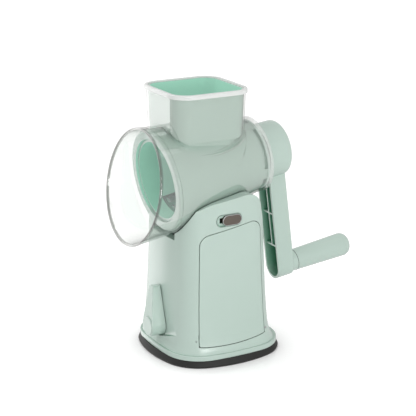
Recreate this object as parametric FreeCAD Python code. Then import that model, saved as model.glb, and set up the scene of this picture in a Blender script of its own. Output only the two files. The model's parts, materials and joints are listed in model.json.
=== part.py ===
import FreeCAD, Part
import math
import os

V = FreeCAD.Vector
os.makedirs("parts", exist_ok=True)

# Rotary vegetable shredder on a suction stand. Millimetres, +Z up, X to the door
# side, Y from the food mouth (-Y) to the crank (+Y). The origin is the middle of
# the foot, on the bench. The drum axis leans down towards the mouth.

# ---------------------------------------------------------------- driving sizes
AXIS_Z = 194.0            # height of the drum axis above the bench, at Y = 0
AXIS_TILT = 7.3           # lean of the drum axis, degrees, mouth end low

# stand
STAND_Y = -2.5            # middle of the column, in front of the foot's middle
SIDE_ARC = 250.0          # radius of the gently bowed sides
STAND_SHIFT_Z = 30.0      # above this height the column is centred on STAND_Y
SHELL_WALL = 2.6
COLUMN_BASE_Z = 7.5       # lower edge of the column, on the rubber foot
COLUMN_LOFT_Z = 190.0     # upper end of the column's form, above its trimmed top
COLUMN_HALF_X = 52.4      # half width and half depth at the upper end
COLUMN_HALF_Y = 48.3
COLUMN_TAPER_X = 0.022    # steady widening per millimetre downwards
COLUMN_TAPER_Y = 0.0255
COLUMN_SPREAD = 4.2       # slow widening towards the foot, and its height
COLUMN_SPREAD_H = 40.0
FLARE_X = 4.7             # quick flare just above the foot, and its height
FLARE_Y = 6.9
FLARE_H = 6.0
FLARE_Z = 10.5
FLANGE_HALF_X = 65.7      # half width and half depth of the flange's edge
FLANGE_HALF_Y = 65.0
FLANGE_EDGE = 0.8         # softness of the flange's upper edge
FLANGE_TALL = 5.0         # height of the upright edge round the foot
COLUMN_CORNER = 22.0      # corner radius, and what the flare adds to it
FLARE_CORNER = 17.0
FLARE_CORNER_H = 9.0
COLUMN_TOP_U = -21.8      # top of the side walls, below the drum axis
COLUMN_TOP_ROUND = 19.0   # round of the top corner at the back
COLUMN_BACK_STEP = 9.0    # how far that round ends in front of the back wall
COLUMN_BACK_LEAN = 12.6   # reach and height of the slope under that round
COLUMN_BACK_DROP = 36.0
COLUMN_FRONT_Y = -17.0    # where the top starts to bend down towards the mouth
COLUMN_FRONT_BEND = 75.0  # radius and sweep of that bend
COLUMN_FRONT_SWEEP = 30.0
CRADLE_GAP = 0.6          # between the column and the casing that lies in it

# rubber foot and suction parts
FOOT_HALF = 69.5
FOOT_TOP_HALF = 66.6
FOOT_CORNER = 42.0
FOOT_TOP_CORNER = 38.0
FOOT_EDGE = 0.7           # rounding in of the lower edge, and its height
FOOT_EDGE_Z = 2.0
FOOT_ARC = 128.0
FOOT_BORE_R = 53.0
CUP_R = 52.4
CUP_THICK = 2.2
CUP_BOSS_R = 10.0
CUP_CONE_R = 22.0
CUP_CONE_TALL = 2.0
CUP_BOSS_TOP = 7.2
CUP_STUD_Z = 2.0          # lower end of the stud inside the cup
BASE_PLATE_THICK = 3.0
BASE_PLATE_FIT = 0.15
BASE_SCREW_R = 1.9
BASE_SCREW_HEAD_R = 3.6
BASE_SCREW_HEAD_TALL = 1.6
BASE_SCREW_END_Z = 20.0
BASE_SCREW_HOLE_Z = 22.0
BASE_SCREW_X = 47.5
BASE_SCREW_Y = 44.0
BASE_BOSS_R = 5.0
BASE_BOSS_TOP = 26.0

# clamping lever and its cam
LEVER_Z = 31.5
LEVER_LEAN = 7.5          # degrees from upright, towards -X, at rest
LEVER_LENGTH = 41.5
LEVER_HUB_R = 11.5
LEVER_TIP_HALF = 4.6      # half width of the flat tip
LEVER_TIP_ROUND = 1.5
LEVER_BACK_Y = -56.0
LEVER_HUB_THICK = 15.6
LEVER_TIP_THICK = 8.2
LEVER_FALL_Z = 4.0        # height above the hub where the front starts to fall back
LEVER_EDGE = 0.9
LEVER_CAP_R = 10.0
LEVER_CAP_SINK = 1.2
LEVER_CAP_PROUD = 0.5
LEVER_SWING = 90.0
LEVER_ROOM = 1.2          # room round the lever in its recess
LEVER_PAD_THICK = 3.0
LEVER_PAD_ABOVE = 30.0    # top of the thick wall behind the lever
LEVER_BUSH_R = 7.5
LEVER_BUSH_FLANGE_R = 10.0
LEVER_BUSH_FLANGE_THICK = 1.6
LEVER_BUSH_BACK = 3.0
CAM_SHAFT_R = 5.0
CAM_SHAFT_SINK = 3.0      # lever metal left in front of the shaft's end
CAM_SHAFT_TAIL = 2.5      # shaft behind its post
CAM_R = 7.0
CAM_OFFSET = 3.0
CAM_WIDTH = 12.0
CLIP_GROOVE = 1.0         # depth and width of the clip's groove
CLIP_BACK = 0.4
CLIP_R = 7.5
CLIP_SLOT = 1.5
POST_HALF = 8.0           # post that holds the shaft's inner end
POST_Y = (16.0, 22.0)
POST_FOOT = 6.0
POST_FOOT_Y = 3.0
YOKE_THICK = 9.0
YOKE_BAR = 4.0
YOKE_LOW_GAP = 2.0        # cam's room below, above and beside it in the yoke
YOKE_HIGH_GAP = 1.6
YOKE_SIDE_GAP = 1.4
STUD_R = 4.0

# storage door and liner
DOOR_BOTTOM_Z = 19.8       # lowest point of the bowed lower edge, and its two corners
DOOR_LOW_FRONT_Z = 21.2
DOOR_LOW_BACK_Z = 23.4
DOOR_TOP_FRONT_Z = 136.0
DOOR_TOP_BACK_Z = 147.0
DOOR_MID_Y = -1.5
DOOR_HALF_BOTTOM = 38.6
DOOR_HALF_TOP = 35.0
DOOR_CORNER = 11.0
DOOR_LOW_CORNER = 1.5
DOOR_THICK = 2.2
DOOR_GAP = 0.7
DOOR_PIN_R = 1.2
DOOR_PIN_IN = 6.0         # pin inside the door's lug and outside its edge
DOOR_PIN_OUT = 3.0
DOOR_LUG_R = 3.1
DOOR_LUG_LENGTH = 7.0
DOOR_HINGE_X = 53.0
DOOR_HINGE_Z = 27.0
DOOR_SWING_ROOM = 8.0     # depth of the doorway behind the hinge
EAR_GAP = 0.4             # hinge ears of the column, beside the doorway
EAR_THICK = 5.0
EAR_BACK = 3.6
EAR_LOW = 4.0
EAR_HIGH = 4.0
SKIN_GAP = 0.5            # inner pieces stay this far inside the column's skin
DIMPLE_Y = 28.0
DIMPLE_Z = 140.8
DIMPLE_R = 5.0
DIMPLE_OUT = 0.55         # share of its radius that the dimple's ball stands out
BAY_BOTTOM_Z = 52.0
BAY_TOP_Z = 124.0
BAY_HALF_Y = 31.0
BAY_BACK_X = -28.0
BAY_RIM_BACK = 1.2
LINER_WALL = 1.8
LINER_REACH = 3.0         # liner's face beyond the doorway's outline
LINER_INNER_X = 40.0
LINER_FOOT = 7.0          # liner's lower edge above the hinge
LINER_SIDE_GAP = 3.2
LINER_TOP_GAP = 2.1

# release slider
SLIDER_Z = 150.9
SLIDER_Y = -4.3
SLIDER_TRACK_LENGTH = 30.0
SLIDER_TRACK_HEIGHT = 13.0
TRACK_WALL = 0.7          # dark liner of the slider's track
TRACK_PROUD = 0.2
TRACK_END_GAP = 0.3
SLIDER_TRAVEL = 6.0
SLIDER_DEPTH = 2.6
SLIDER_PAD = 2.0          # wall behind the track, and its frame round the recess
SLIDER_FRAME_Y = 3.0
SLIDER_FRAME_Z = 1.9
KNOB_PROUD = 0.9
KNOB_EDGE = 1.1
STEM_SHIFT = 3.0          # stem and its slot, nearer the knob's front end
STEM_HALF_Y = 4.0
STEM_HALF_Z = 2.4
LATCH_THICK = 2.0
LATCH_X = 46.0
LATCH_Z = 132.0
LATCH_TALL = 4.0
LATCH_ARM_FRONT = 1.5
LATCH_ARM_BACK = 0.5
LATCH_ABOVE = 2.0
LATCH_REACH_X = (4.0, 18.0)
LATCH_TIP_Y = -21.0
LATCH_WINDOW = 1.0

# key under the housing, and its well in the stand
KEY_HALF_X = 23.0
WELL_FLOOR_Z = 128.4
WELL_GAP = 0.6
WELL_WALL = 2.0
KEY_FRONT_Y = -44.0
KEY_BACK_Y = -22.0
KEY_SEAT_GAP = 0.05
KEY_STEP_GAP = 1.4        # room under and before the latch's tongue
KEY_STEP_DEPTH = 10.0

# clear casing (positions along the drum axis are "a", from mouth to crank)
SLEEVE_FRONT_A = -57.0
SLEEVE_BACK_A = 49.0
SLEEVE_FRONT_R = 55.8
SLEEVE_BACK_R = 39.4
CLEAR_WALL = 2.0
COLLAR_R = 39.8
COLLAR_BACK_A = 56.0
MOUTH_R = 59.8
MOUTH_Y = -85.2
MOUTH_Z = 183.2
MOUTH_TILT = 10.5         # lean of the mouth's plane, degrees, lower edge forward
MOUTH_BEAD_R = 1.3
SADDLE_THICK = 2.2
SADDLE_MARGIN = 4.5
SADDLE_BACK = 2.0
SADDLE_RISE = 20.0        # saddle's block ends this far below the rim
CASING_LOW = 10.0         # upper parts of the casing start this far over the axis
LEDGE_LOW_Z = 219.5       # top of the saddle ledge beside the barrel's wide end
LEDGE_HIGH_Z = 231.0      # and where it meets the hopper's back
LEDGE_LEVEL_Y = -20.0
LEDGE_HIGH_Y = 20.0
LEDGE_END = 40.0

# hopper
HOPPER_TOP_Z = 280.0
HOPPER_Y = -13.8
HOPPER_HALF_X = 42.2
HOPPER_HALF_Y = 42.0
HOPPER_DRAFT = 1.2        # narrowing of each half width from rim to barrel
HOPPER_LOW_Z = 226.0
HOPPER_CORNER = 18.5
HOPPER_WALL = 1.8
RIM_PROUD = 1.6
RIM_HEIGHT = 4.4
RIM_EDGE = 1.0

# green inner barrel with its chute, and the sleeve that the drum runs in
FIT_GAP = 0.35            # between the barrel and the clear casing
BARREL_WALL = 2.2
LIP_BORE_R = 43.4
LIP_FRONT_A = -61.0
LIP_BACK_A = -51.0
LIP_STEP = 0.7            # lip's root in front of the casing's sleeve
LIP_IN = 1.0
LIP_ROUND = 2.2
LIP_DEPTH = 3.0           # lip in front of the drum's sleeve
SEAT_LENGTH = 2.0
BARREL_BACK_A = 46.0
CHUTE_WALL = 1.8
CHUTE_TOP_DROP = 1.2
CHUTE_FLOOR_ARC = 76.0    # radius of the chute's arched lower edge
CHUTE_FLOOR_Z = 241.0
THROAT_HALF_X = 33.0
THROAT_HALF_Y = 33.0
THROAT_CORNER = 12.0
SLEEVE_WALL = 1.8
SLEEVE_BORE_BACK_R = 31.5

# rear plate with its bush (positions along the axis, front and back)
PLATE_A = (50.0, 53.0)
PLATE_FIT = 0.2
TAB_ANGLES = (20.0, 110.0, 200.0, 290.0)
TAB_HALF = 6.0
TAB_THICK = 2.2
TAB_GAP = 0.4
BUSH_R = 9.0
BUSH_A = (46.5, 57.6)
BUSH_FLANGE_R = 15.0
BUSH_FLANGE_THICK = 1.6
PLATE_SCREW_CIRCLE = 12.0
PLATE_SCREW_SHANK = 1.2
PLATE_SCREW_HEAD_R = 2.2
PLATE_SCREW_HEAD = 1.2
PLATE_SCREW_IN = 1.5

# drum
DRUM_GAP = 0.8
DRUM_WALL = 2.2
DRUM_FRONT_A = -58.5
DRUM_BACK_A = 44.0
WINDOW_HALF_ANGLE = 43.0
WINDOW_FRONT_A = -44.0
WINDOW_BACK_A = 34.0
PLATE_THICK = 0.8
SLOT_ROWS = 7
SLOTS_PER_ROW = 5
SLOT_LENGTH = 7.0
SLOT_WIDTH = 3.2
PLATE_FIT_R = 0.3         # shred plate below the drum's surface
DRUM_HUB_R = 10.0
SQUARE_SIDE = 9.0
SOCKET_A = 32.0
SQUARE_LAP = 2.0

# crank
SHAFT_R = 6.0
SHAFT_END_A = 79.0
SHAFT_TAP = 10.0
RUN_GAP = 0.05            # radial running fit of shafts in bushes
SCREW_SHANK_R = 2.0
SCREW_HEAD_R = 4.0
SCREW_HEAD = 2.2
COVER_R = 11.0
COVER_SINK = 4.0
COVER_PROUD = 0.2
COVER_ROOM_R = 5.0
COVER_SKIN = 1.4
HUB_R = 29.6
HUB_FRONT_A = 58.6
HUB_BACK_A = 87.0
HUB_ROUND = 6.0
HUB_WALL = 2.4
HUB_BOSS_R = 9.5
HUB_BOSS_GAP = 1.0        # boss behind the end of the bush
HUB_WEB_DROP = 4.0
HUB_WEB_ANGLES = (0.0, 90.0, 180.0, 270.0)
CRANK_RADIUS = 132.0
ARM_HALF = 13.5
ARM_FRONT_A = 64.0
ARM_BACK_A = 84.0
ARM_WALL = 2.4
ARM_EDGE = 2.0
ARM_RIB_DROP = 2.5
RIB_HALF = 1.0
CROSS_RIB_U = (-70.0, -107.0)
SPINDLE_BOSS_R = 8.0
SPINDLE_BOSS_TALL = 5.0
GRIP_START_A = 84.4
GRIP_END_A = 152.0
GRIP_R = 11.4
GRIP_END_R = 12.7
GRIP_DOME = 9.0
GRIP_DOME_FLAT = 0.6
SPINDLE_R = 4.0
SPINDLE_END_A = 150.0
SPINDLE_HEAD_R = 5.5
SPINDLE_HEAD = 3.0

BODY_GAP = 0.3            # clearance between separate moving bodies
FUSE = 1.0                # overlap of blocks that are joined or cut through
FAR = 300.0               # reach of cutting blocks

# ---------------------------------------------------------------- sizes that follow
BASE_Z = COLUMN_BASE_Z
FLOOR_Z = BASE_Z + BASE_PLATE_THICK
BOSS_PLACES = [(sx * BASE_SCREW_X, STAND_Y + sy * BASE_SCREW_Y) for sx in (-1, 1) for sy in (-1, 1)]
LEVER_FACE_Y = LEVER_BACK_Y - LEVER_HUB_THICK
LEVER_SEAT_Y = LEVER_BACK_Y + 2 * BODY_GAP
LEVER_PAD_Y = LEVER_SEAT_Y + LEVER_PAD_THICK
CLIP_A = (POST_Y[1] + CLIP_BACK, POST_Y[1] + CLIP_BACK + CLIP_GROOVE)
DOOR_PIN_Y = DOOR_HALF_BOTTOM + DOOR_PIN_OUT
WELL_HALF_X = KEY_HALF_X + WELL_GAP
WELL_BACK_Y = KEY_BACK_Y + WELL_GAP
KNOB_LENGTH = SLIDER_TRACK_LENGTH - 2 * (TRACK_WALL + TRACK_END_GAP) - SLIDER_TRAVEL
KNOB_Y = SLIDER_Y + SLIDER_TRACK_LENGTH / 2 - TRACK_WALL - TRACK_END_GAP - KNOB_LENGTH / 2
STEM_Y = KNOB_Y - STEM_SHIFT
HOPPER_LOW_HALF_X = HOPPER_HALF_X - HOPPER_DRAFT
HOPPER_LOW_HALF_Y = HOPPER_HALF_Y - HOPPER_DRAFT
NECK_HALF_X = THROAT_HALF_X + FIT_GAP + CLEAR_WALL
NECK_HALF_Y = THROAT_HALF_Y + FIT_GAP + CLEAR_WALL
LIP_ROOT_A = SLEEVE_FRONT_A - LIP_STEP
DRUM_SLEEVE_A = (LIP_FRONT_A + LIP_DEPTH, SLEEVE_BACK_A - FUSE)
SPINDLE_START_A = ARM_BACK_A - ARM_WALL - SPINDLE_BOSS_TALL


# ------------------------------------------------------------------ shape helpers
def save(shape, name):
    shape.exportStep("parts/" + name + ".step")


def box(x0, x1, y0, y1, z0, z1):
    return Part.makeBox(x1 - x0, y1 - y0, z1 - z0, V(x0, y0, z0))


def cyl_y(radius, y0, y1, x=0.0, z=0.0):
    return Part.makeCylinder(radius, y1 - y0, V(x, y0, z), V(0, 1, 0))


def cyl_z(radius, z0, z1, x=0.0, y=0.0):
    return Part.makeCylinder(radius, z1 - z0, V(x, y, z0), V(0, 0, 1))


def cone_y(radius0, radius1, y0, y1):
    if radius0 == radius1:
        return cyl_y(radius0, y0, y1)
    return Part.makeCone(radius0, radius1, y1 - y0, V(0, y0, 0), V(0, 1, 0))


def on_axis(shape):
    """Take a shape drawn round the Y axis to the leaning drum axis."""
    placed = shape.copy()
    placed.rotate(V(0, 0, 0), V(1, 0, 0), AXIS_TILT)
    placed.translate(V(0, 0, AXIS_Z))
    return placed


def between(value, x0, y0, x1, y1):
    return y0 + (y1 - y0) * (value - x0) / (x1 - x0)


def one_solid(shape):
    return max(shape.Solids, key=lambda solid: solid.Volume)


def fuse_all(shapes):
    return shapes[0].multiFuse(shapes[1:]).removeSplitter()


def prism_x(points, x0, x1):
    """Polygon of (y, z) points, pushed along X."""
    wire = Part.makePolygon([V(x0, y, z) for y, z in points + points[:1]])
    return Part.Face(wire).extrude(V(x1 - x0, 0, 0))


def bowed_section(half_x, half_y, corner, side_arc, z, middle_y):
    """Rounded rectangle with bowed sides: tangent arcs, three to a quarter."""
    side_x = half_x - side_arc
    side_y = half_y - side_arc
    reach = side_arc - corner
    # the corner's centre is "reach" away from the centres of both side arcs
    k0 = (side_y ** 2 - side_x ** 2) / (2 * side_y)
    k1 = side_x / side_y
    qa = 1 + k1 ** 2
    qb = 2 * k0 * k1 - 2 * side_x
    qc = side_x ** 2 + k0 ** 2 - reach ** 2
    cx = (-qb + math.sqrt(qb ** 2 - 4 * qa * qc)) / (2 * qa)
    cy = k0 + k1 * cx
    swing_x = math.atan2(cy, cx - side_x)
    swing_y = math.atan2(cx, cy - side_y)
    diagonal = (swing_x + math.pi / 2 - swing_y) / 2

    def corner_at(angle):
        return V(cx + corner * math.cos(angle), cy + corner * math.sin(angle), 0)

    knots = [V(half_x, 0, 0), corner_at(swing_x), corner_at(math.pi / 2 - swing_y), V(0, half_y, 0)]
    mids = [V(side_x + side_arc * math.cos(swing_x / 2), side_arc * math.sin(swing_x / 2), 0),
            corner_at(diagonal),
            V(side_arc * math.sin(swing_y / 2), side_y + side_arc * math.cos(swing_y / 2), 0)]
    edges = []
    for sx, sy, forward in ((1, 1, True), (-1, 1, False), (-1, -1, True), (1, -1, False)):
        ends = knots if forward else knots[::-1]
        middles = mids if forward else mids[::-1]
        for i, mid in enumerate(middles):
            points = [V(sx * p.x, sy * p.y + middle_y, z) for p in (ends[i], mid, ends[i + 1])]
            edges.append(Part.Arc(*points).toShape())
    return Part.Wire(edges)


def rounded_outline(x0, x1, y0, y1, corner, z):
    """Rectangle with round corners, as a wire at height z."""
    turn = corner * math.sqrt(0.5)
    centres = [(x1 - corner, y0 + corner, 1, -1), (x1 - corner, y1 - corner, 1, 1),
               (x0 + corner, y1 - corner, -1, 1), (x0 + corner, y0 + corner, -1, -1)]
    arcs = []
    for cx, cy, sx, sy in centres:
        along = V(cx + sx * corner, cy, z)
        across = V(cx, cy + sy * corner, z)
        middle = V(cx + sx * turn, cy + sy * turn, z)
        arcs.append((across, middle, along) if sx * sy < 0 else (along, middle, across))
    edges = []
    for i, (first, middle, last) in enumerate(arcs):
        edges.append(Part.Arc(first, middle, last).toShape())
        edges.append(Part.LineSegment(last, arcs[(i + 1) % 4][0]).toShape())
    return Part.Wire(edges)


def rounded_prism(half_x, half_y, corner, z0, z1, middle_y, draft=0.0):
    """Upright rounded block; draft is how much each half width shrinks at z0."""
    wires = []
    for z, less in ((z0, draft), (z1, 0.0)):
        hx, hy = half_x - less, half_y - less
        wires.append(rounded_outline(-hx, hx, middle_y - hy, middle_y + hy, corner, z))
    return Part.makeLoft(wires, True, True)


# ------------------------------------------------------------------ column
def column_middle(z):
    return STAND_Y * min(1.0, (z - COLUMN_BASE_Z) / (STAND_SHIFT_Z - COLUMN_BASE_Z))


def column_half(z, top_half, taper, flare, flange_half):
    """Half width at a height: taper, slow spread and quick flare, up to the flange's edge."""
    free = (top_half + taper * (COLUMN_LOFT_Z - z)
            + COLUMN_SPREAD * math.exp((FLARE_Z - z) / COLUMN_SPREAD_H)
            + flare * math.exp((FLARE_Z - z) / FLARE_H))
    return (free + flange_half - math.hypot(free - flange_half, FLANGE_EDGE)) / 2


def side_x_at(z):
    return column_half(z, COLUMN_HALF_X, COLUMN_TAPER_X, FLARE_X, FLANGE_HALF_X)


def front_half_at(z):
    return column_half(z, COLUMN_HALF_Y, COLUMN_TAPER_Y, FLARE_Y, FLANGE_HALF_Y)


def column_wire(z, inset):
    corner = COLUMN_CORNER + FLARE_CORNER * math.exp(min(0.0, (FLARE_Z - z) / FLARE_CORNER_H))
    return bowed_section(side_x_at(z) - inset, front_half_at(z) - inset, corner - inset,
                         SIDE_ARC, z, column_middle(z))


def column_heights():
    """Section heights: close together in the flare, then wider and wider apart."""
    heights = [COLUMN_BASE_Z, COLUMN_BASE_Z + 1.5]
    step = 1.0
    while heights[-1] + 1.5 * step < COLUMN_LOFT_Z:
        heights.append(heights[-1] + step)
        step *= 1.35
    return heights + [COLUMN_LOFT_Z]


def column_loft(inset):
    """The column's outer form, with every wall moved in by inset."""
    return Part.makeLoft([column_wire(z, inset) for z in column_heights()], True, True)


def sleeve_radius(a):
    return between(a, SLEEVE_FRONT_A, SLEEVE_FRONT_R, SLEEVE_BACK_A, SLEEVE_BACK_R)


def sleeve_cone(grow, a0, a1):
    """Solid cone that follows the clear sleeve's outside, grown by a clearance."""
    return on_axis(cone_y(sleeve_radius(a0) + grow, sleeve_radius(a1) + grow, a0, a1))


def ring_wire(radius, a=None):
    """Circle round the drum axis at a, or the leaning circle of the mouth."""
    if a is None:
        wire = Part.Wire(Part.makeCircle(radius, V(0, 0, 0), V(0, 1, 0)))
        wire.rotate(V(0, 0, 0), V(1, 0, 0), -MOUTH_TILT)
        wire.translate(V(0, MOUTH_Y, MOUTH_Z))
        return wire
    return on_axis(Part.Wire(Part.makeCircle(radius, V(0, a, 0), V(0, 1, 0))))


def bell_solid(grow):
    return Part.makeLoft([ring_wire(MOUTH_R + grow), ring_wire(SLEEVE_FRONT_R + grow, SLEEVE_FRONT_A)],
                         True, True)


def top_block(drop):
    """Everything under the column's leaning top, bent down in front and rounded at the back."""
    lean = math.radians(AXIS_TILT)
    top_u = COLUMN_TOP_U - drop
    back_y = STAND_Y + COLUMN_HALF_Y - COLUMN_BACK_STEP - drop
    turn_r = COLUMN_TOP_ROUND - drop

    def top_z(y):
        return AXIS_Z + y * math.tan(lean) + top_u / math.cos(lean)

    # the round touches the leaning top and the back wall
    centre_y = back_y - turn_r
    centre_z = top_z(centre_y) - turn_r / math.cos(lean)
    start = V(0, centre_y - turn_r * math.sin(lean), centre_z + turn_r * math.cos(lean))
    half = math.radians(45.0 + AXIS_TILT / 2)
    middle = V(0, centre_y + turn_r * math.cos(half), centre_z + turn_r * math.sin(half))
    end = V(0, back_y, centre_z)
    # the bend's centre is the same for the outer and the inner form
    bend_y = COLUMN_FRONT_Y + COLUMN_FRONT_BEND * math.sin(lean)
    bend_z = (AXIS_Z + COLUMN_FRONT_Y * math.tan(lean) + COLUMN_TOP_U / math.cos(lean)
              - COLUMN_FRONT_BEND * math.cos(lean))
    sweep = math.radians(COLUMN_FRONT_SWEEP)

    def on_bend(turn, radius=COLUMN_FRONT_BEND - drop):
        return V(0, bend_y - radius * math.sin(lean + turn), bend_z + radius * math.cos(lean + turn))

    bend = [on_bend(sweep), on_bend(sweep / 2), on_bend(0.0)]
    away = V(0, bend[0].y - FAR * math.cos(lean + sweep), bend[0].z - FAR * math.sin(lean + sweep))
    slope_z = centre_z - COLUMN_BACK_DROP
    corners = [end, V(0, back_y + COLUMN_BACK_LEAN, slope_z), V(0, FAR, slope_z), V(0, FAR, -FAR),
               V(0, away.y, -FAR), away, bend[0]]
    edges = [Part.Arc(start, middle, end).toShape()]
    for first, last in zip(corners, corners[1:]):
        edges.append(Part.LineSegment(first, last).toShape())
    edges += [Part.Arc(*bend).toShape(), Part.LineSegment(bend[2], start).toShape()]
    face = Part.Face(Part.Wire(edges))
    face.translate(V(-FAR, 0, 0))
    return face.extrude(V(2 * FAR, 0, 0))


def flange_band():
    """The crisp upright edge round the column's foot."""
    wire = column_wire(COLUMN_BASE_Z, 0.0)
    band = Part.Face(wire).extrude(V(0, 0, FLANGE_TALL))
    return band.makeFillet(FLANGE_EDGE, [e for e in band.Edges
                                         if e.BoundBox.ZMin > COLUMN_BASE_Z + FLANGE_TALL - 0.01])


def column_form(inset):
    """Column trimmed by its top and by the cradle that the casing lies in."""
    form = column_loft(inset).common(top_block(inset))
    cradle = sleeve_cone(CRADLE_GAP + inset, SLEEVE_FRONT_A, SLEEVE_BACK_A + 20.0)
    return form.cut(cradle).cut(bell_solid(CRADLE_GAP + inset))


# ------------------------------------------------------------------ lever outline
def lever_outline(margin, lean, y0, y1):
    """Round hub with straight sides up to a flat tip, leaning from upright towards +X."""
    hub_r = LEVER_HUB_R + margin
    half = LEVER_TIP_HALF + margin
    top = LEVER_LENGTH + margin
    reach = math.hypot(half, top)
    touch = math.atan2(top, half) - math.acos(hub_r / reach)
    side = V(hub_r * math.cos(touch), y0, LEVER_Z + hub_r * math.sin(touch))
    other = V(-side.x, y0, side.z)
    points = [side, V(half, y0, LEVER_Z + top), V(-half, y0, LEVER_Z + top), other]
    edges = [Part.LineSegment(first, last).toShape() for first, last in zip(points, points[1:])]
    edges.append(Part.Arc(other, V(0, y0, LEVER_Z - hub_r), side).toShape())
    block = Part.Face(Part.Wire(edges)).extrude(V(0, y1 - y0, 0))
    tip_edges = [e for e in block.Edges if e.BoundBox.ZMin > LEVER_Z + top - 0.01
                 and e.BoundBox.YLength > (y1 - y0) / 2]
    block = block.makeFillet(min(LEVER_TIP_ROUND + margin, half - 0.5), tip_edges)
    block.rotate(V(0, 0, LEVER_Z), V(0, 1, 0), lean)
    return block


# ------------------------------------------------------------------ door outline
def door_prism(margin, x0, x1):
    """The door's rounded outline with its bowed lower edge, grown by margin, pushed along X."""
    half = DOOR_HALF_BOTTOM + margin
    top_half = DOOR_HALF_TOP + margin
    low_front = V(x0, DOOR_MID_Y - half, DOOR_LOW_FRONT_Z - margin)
    low_back = V(x0, DOOR_MID_Y + half, DOOR_LOW_BACK_Z - margin)
    corners = [low_back, V(x0, DOOR_MID_Y + top_half, DOOR_TOP_BACK_Z + margin),
               V(x0, DOOR_MID_Y - top_half, DOOR_TOP_FRONT_Z + margin), low_front]
    edges = [Part.Arc(low_front, V(x0, DOOR_MID_Y, DOOR_BOTTOM_Z - margin), low_back).toShape()]
    edges += [Part.LineSegment(first, last).toShape() for first, last in zip(corners, corners[1:])]
    block = Part.Face(Part.Wire(edges)).extrude(V(x1 - x0, 0, 0))
    middle_z = (DOOR_BOTTOM_Z + DOOR_TOP_FRONT_Z) / 2
    high = [edge for edge in corner_edges(block, x1 - x0) if edge.BoundBox.ZMin > middle_z]
    block = block.makeFillet(DOOR_CORNER + margin, high)
    low = [edge for edge in corner_edges(block, x1 - x0) if edge.BoundBox.ZMax < DOOR_LOW_BACK_Z + 1.0]
    return block.makeFillet(DOOR_LOW_CORNER + margin, low)


def corner_edges(block, length):
    """The straight edges of a pushed outline that run along X."""
    return [edge for edge in block.Edges if edge.BoundBox.XLength > length / 2
            and edge.BoundBox.YLength < 0.01 and edge.BoundBox.ZLength < 0.01]


def lower_edge_reach(y, z):
    """How far the door's lower edge at (y, z) comes from the hinge axis."""
    level = Part.Face(column_wire(z, 0.0))
    edge_x = level.common(Part.makeLine(V(0, y, z), V(FAR, y, z))).BoundBox.XMax
    return math.hypot(edge_x - DOOR_HINGE_X, DOOR_HINGE_Z - z)


def hinge_trough(margin):
    """Room for the door's lower edge to turn in: a barrel round the hinge axis."""
    front_y = DOOR_MID_Y - DOOR_HALF_BOTTOM
    back_y = DOOR_MID_Y + DOOR_HALF_BOTTOM
    reaches = [(front_y - DOOR_GAP, lower_edge_reach(front_y, DOOR_LOW_FRONT_Z)),
               (DOOR_MID_Y, lower_edge_reach(DOOR_MID_Y, DOOR_BOTTOM_Z)),
               (back_y + DOOR_GAP, lower_edge_reach(back_y, DOOR_LOW_BACK_Z))]
    front, middle, back = [V(DOOR_HINGE_X, y, DOOR_HINGE_Z - reach - margin) for y, reach in reaches]
    on_front = V(DOOR_HINGE_X, front.y, DOOR_HINGE_Z)
    on_back = V(DOOR_HINGE_X, back.y, DOOR_HINGE_Z)
    edges = [Part.Arc(front, middle, back).toShape()]
    for first, last in ((back, on_back), (on_back, on_front), (on_front, front)):
        edges.append(Part.LineSegment(first, last).toShape())
    return Part.Face(Part.Wire(edges)).revolve(on_front, V(0, 1, 0), 360)


# ------------------------------------------------------------------ slider
SLIDER_FACE_X = side_x_at(SLIDER_Z)
TRACK_FLOOR_X = SLIDER_FACE_X - SLIDER_DEPTH
KNOB_BACK_X = TRACK_FLOOR_X + TRACK_WALL + BODY_GAP


def pill_x(length, height, x0, x1, y, z):
    """Upright slab with half round ends, long in Y, pushed along X."""
    radius = height / 2
    middle = box(x0, x1, y - length / 2 + radius, y + length / 2 - radius, z - radius, z + radius)
    ends = [Part.makeCylinder(radius, x1 - x0, V(x0, y + side * (length / 2 - radius), z), V(1, 0, 0))
            for side in (-1, 1)]
    return fuse_all([middle] + ends)


# ------------------------------------------------------------------ stand
def hinge_ears():
    """Two ears beside the doorway that hold the door's pins."""
    ears = []
    for side in (-1, 1):
        inner = DOOR_MID_Y + side * (DOOR_HALF_BOTTOM + DOOR_GAP + EAR_GAP)
        outer_y = inner + side * EAR_THICK
        ears.append(box(DOOR_HINGE_X - EAR_BACK, FAR, min(inner, outer_y), max(inner, outer_y),
                        DOOR_BOTTOM_Z - EAR_LOW, DOOR_HINGE_Z + EAR_HIGH))
    return ears


def lever_room():
    """Recess that the lever lies and swings in."""
    reach = math.hypot(LEVER_LENGTH, LEVER_TIP_HALF) + LEVER_ROOM
    swing = cyl_y(reach, -FAR, LEVER_SEAT_Y, 0.0, LEVER_Z)
    turns = [math.radians(-LEVER_LEAN), math.radians(LEVER_SWING - LEVER_LEAN)]
    tips = [V(FAR * math.sin(turn), -FAR, LEVER_Z + FAR * math.cos(turn)) for turn in turns]
    middle = V(0, -FAR, LEVER_Z)
    wedge = Part.Face(Part.makePolygon([middle] + tips + [middle])).extrude(V(0, 2 * FAR, 0))
    ends = [lever_outline(LEVER_ROOM, lean, -FAR, LEVER_SEAT_Y)
            for lean in (-LEVER_LEAN, LEVER_SWING - LEVER_LEAN)]
    return fuse_all([swing.common(wedge)] + ends)


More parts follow.
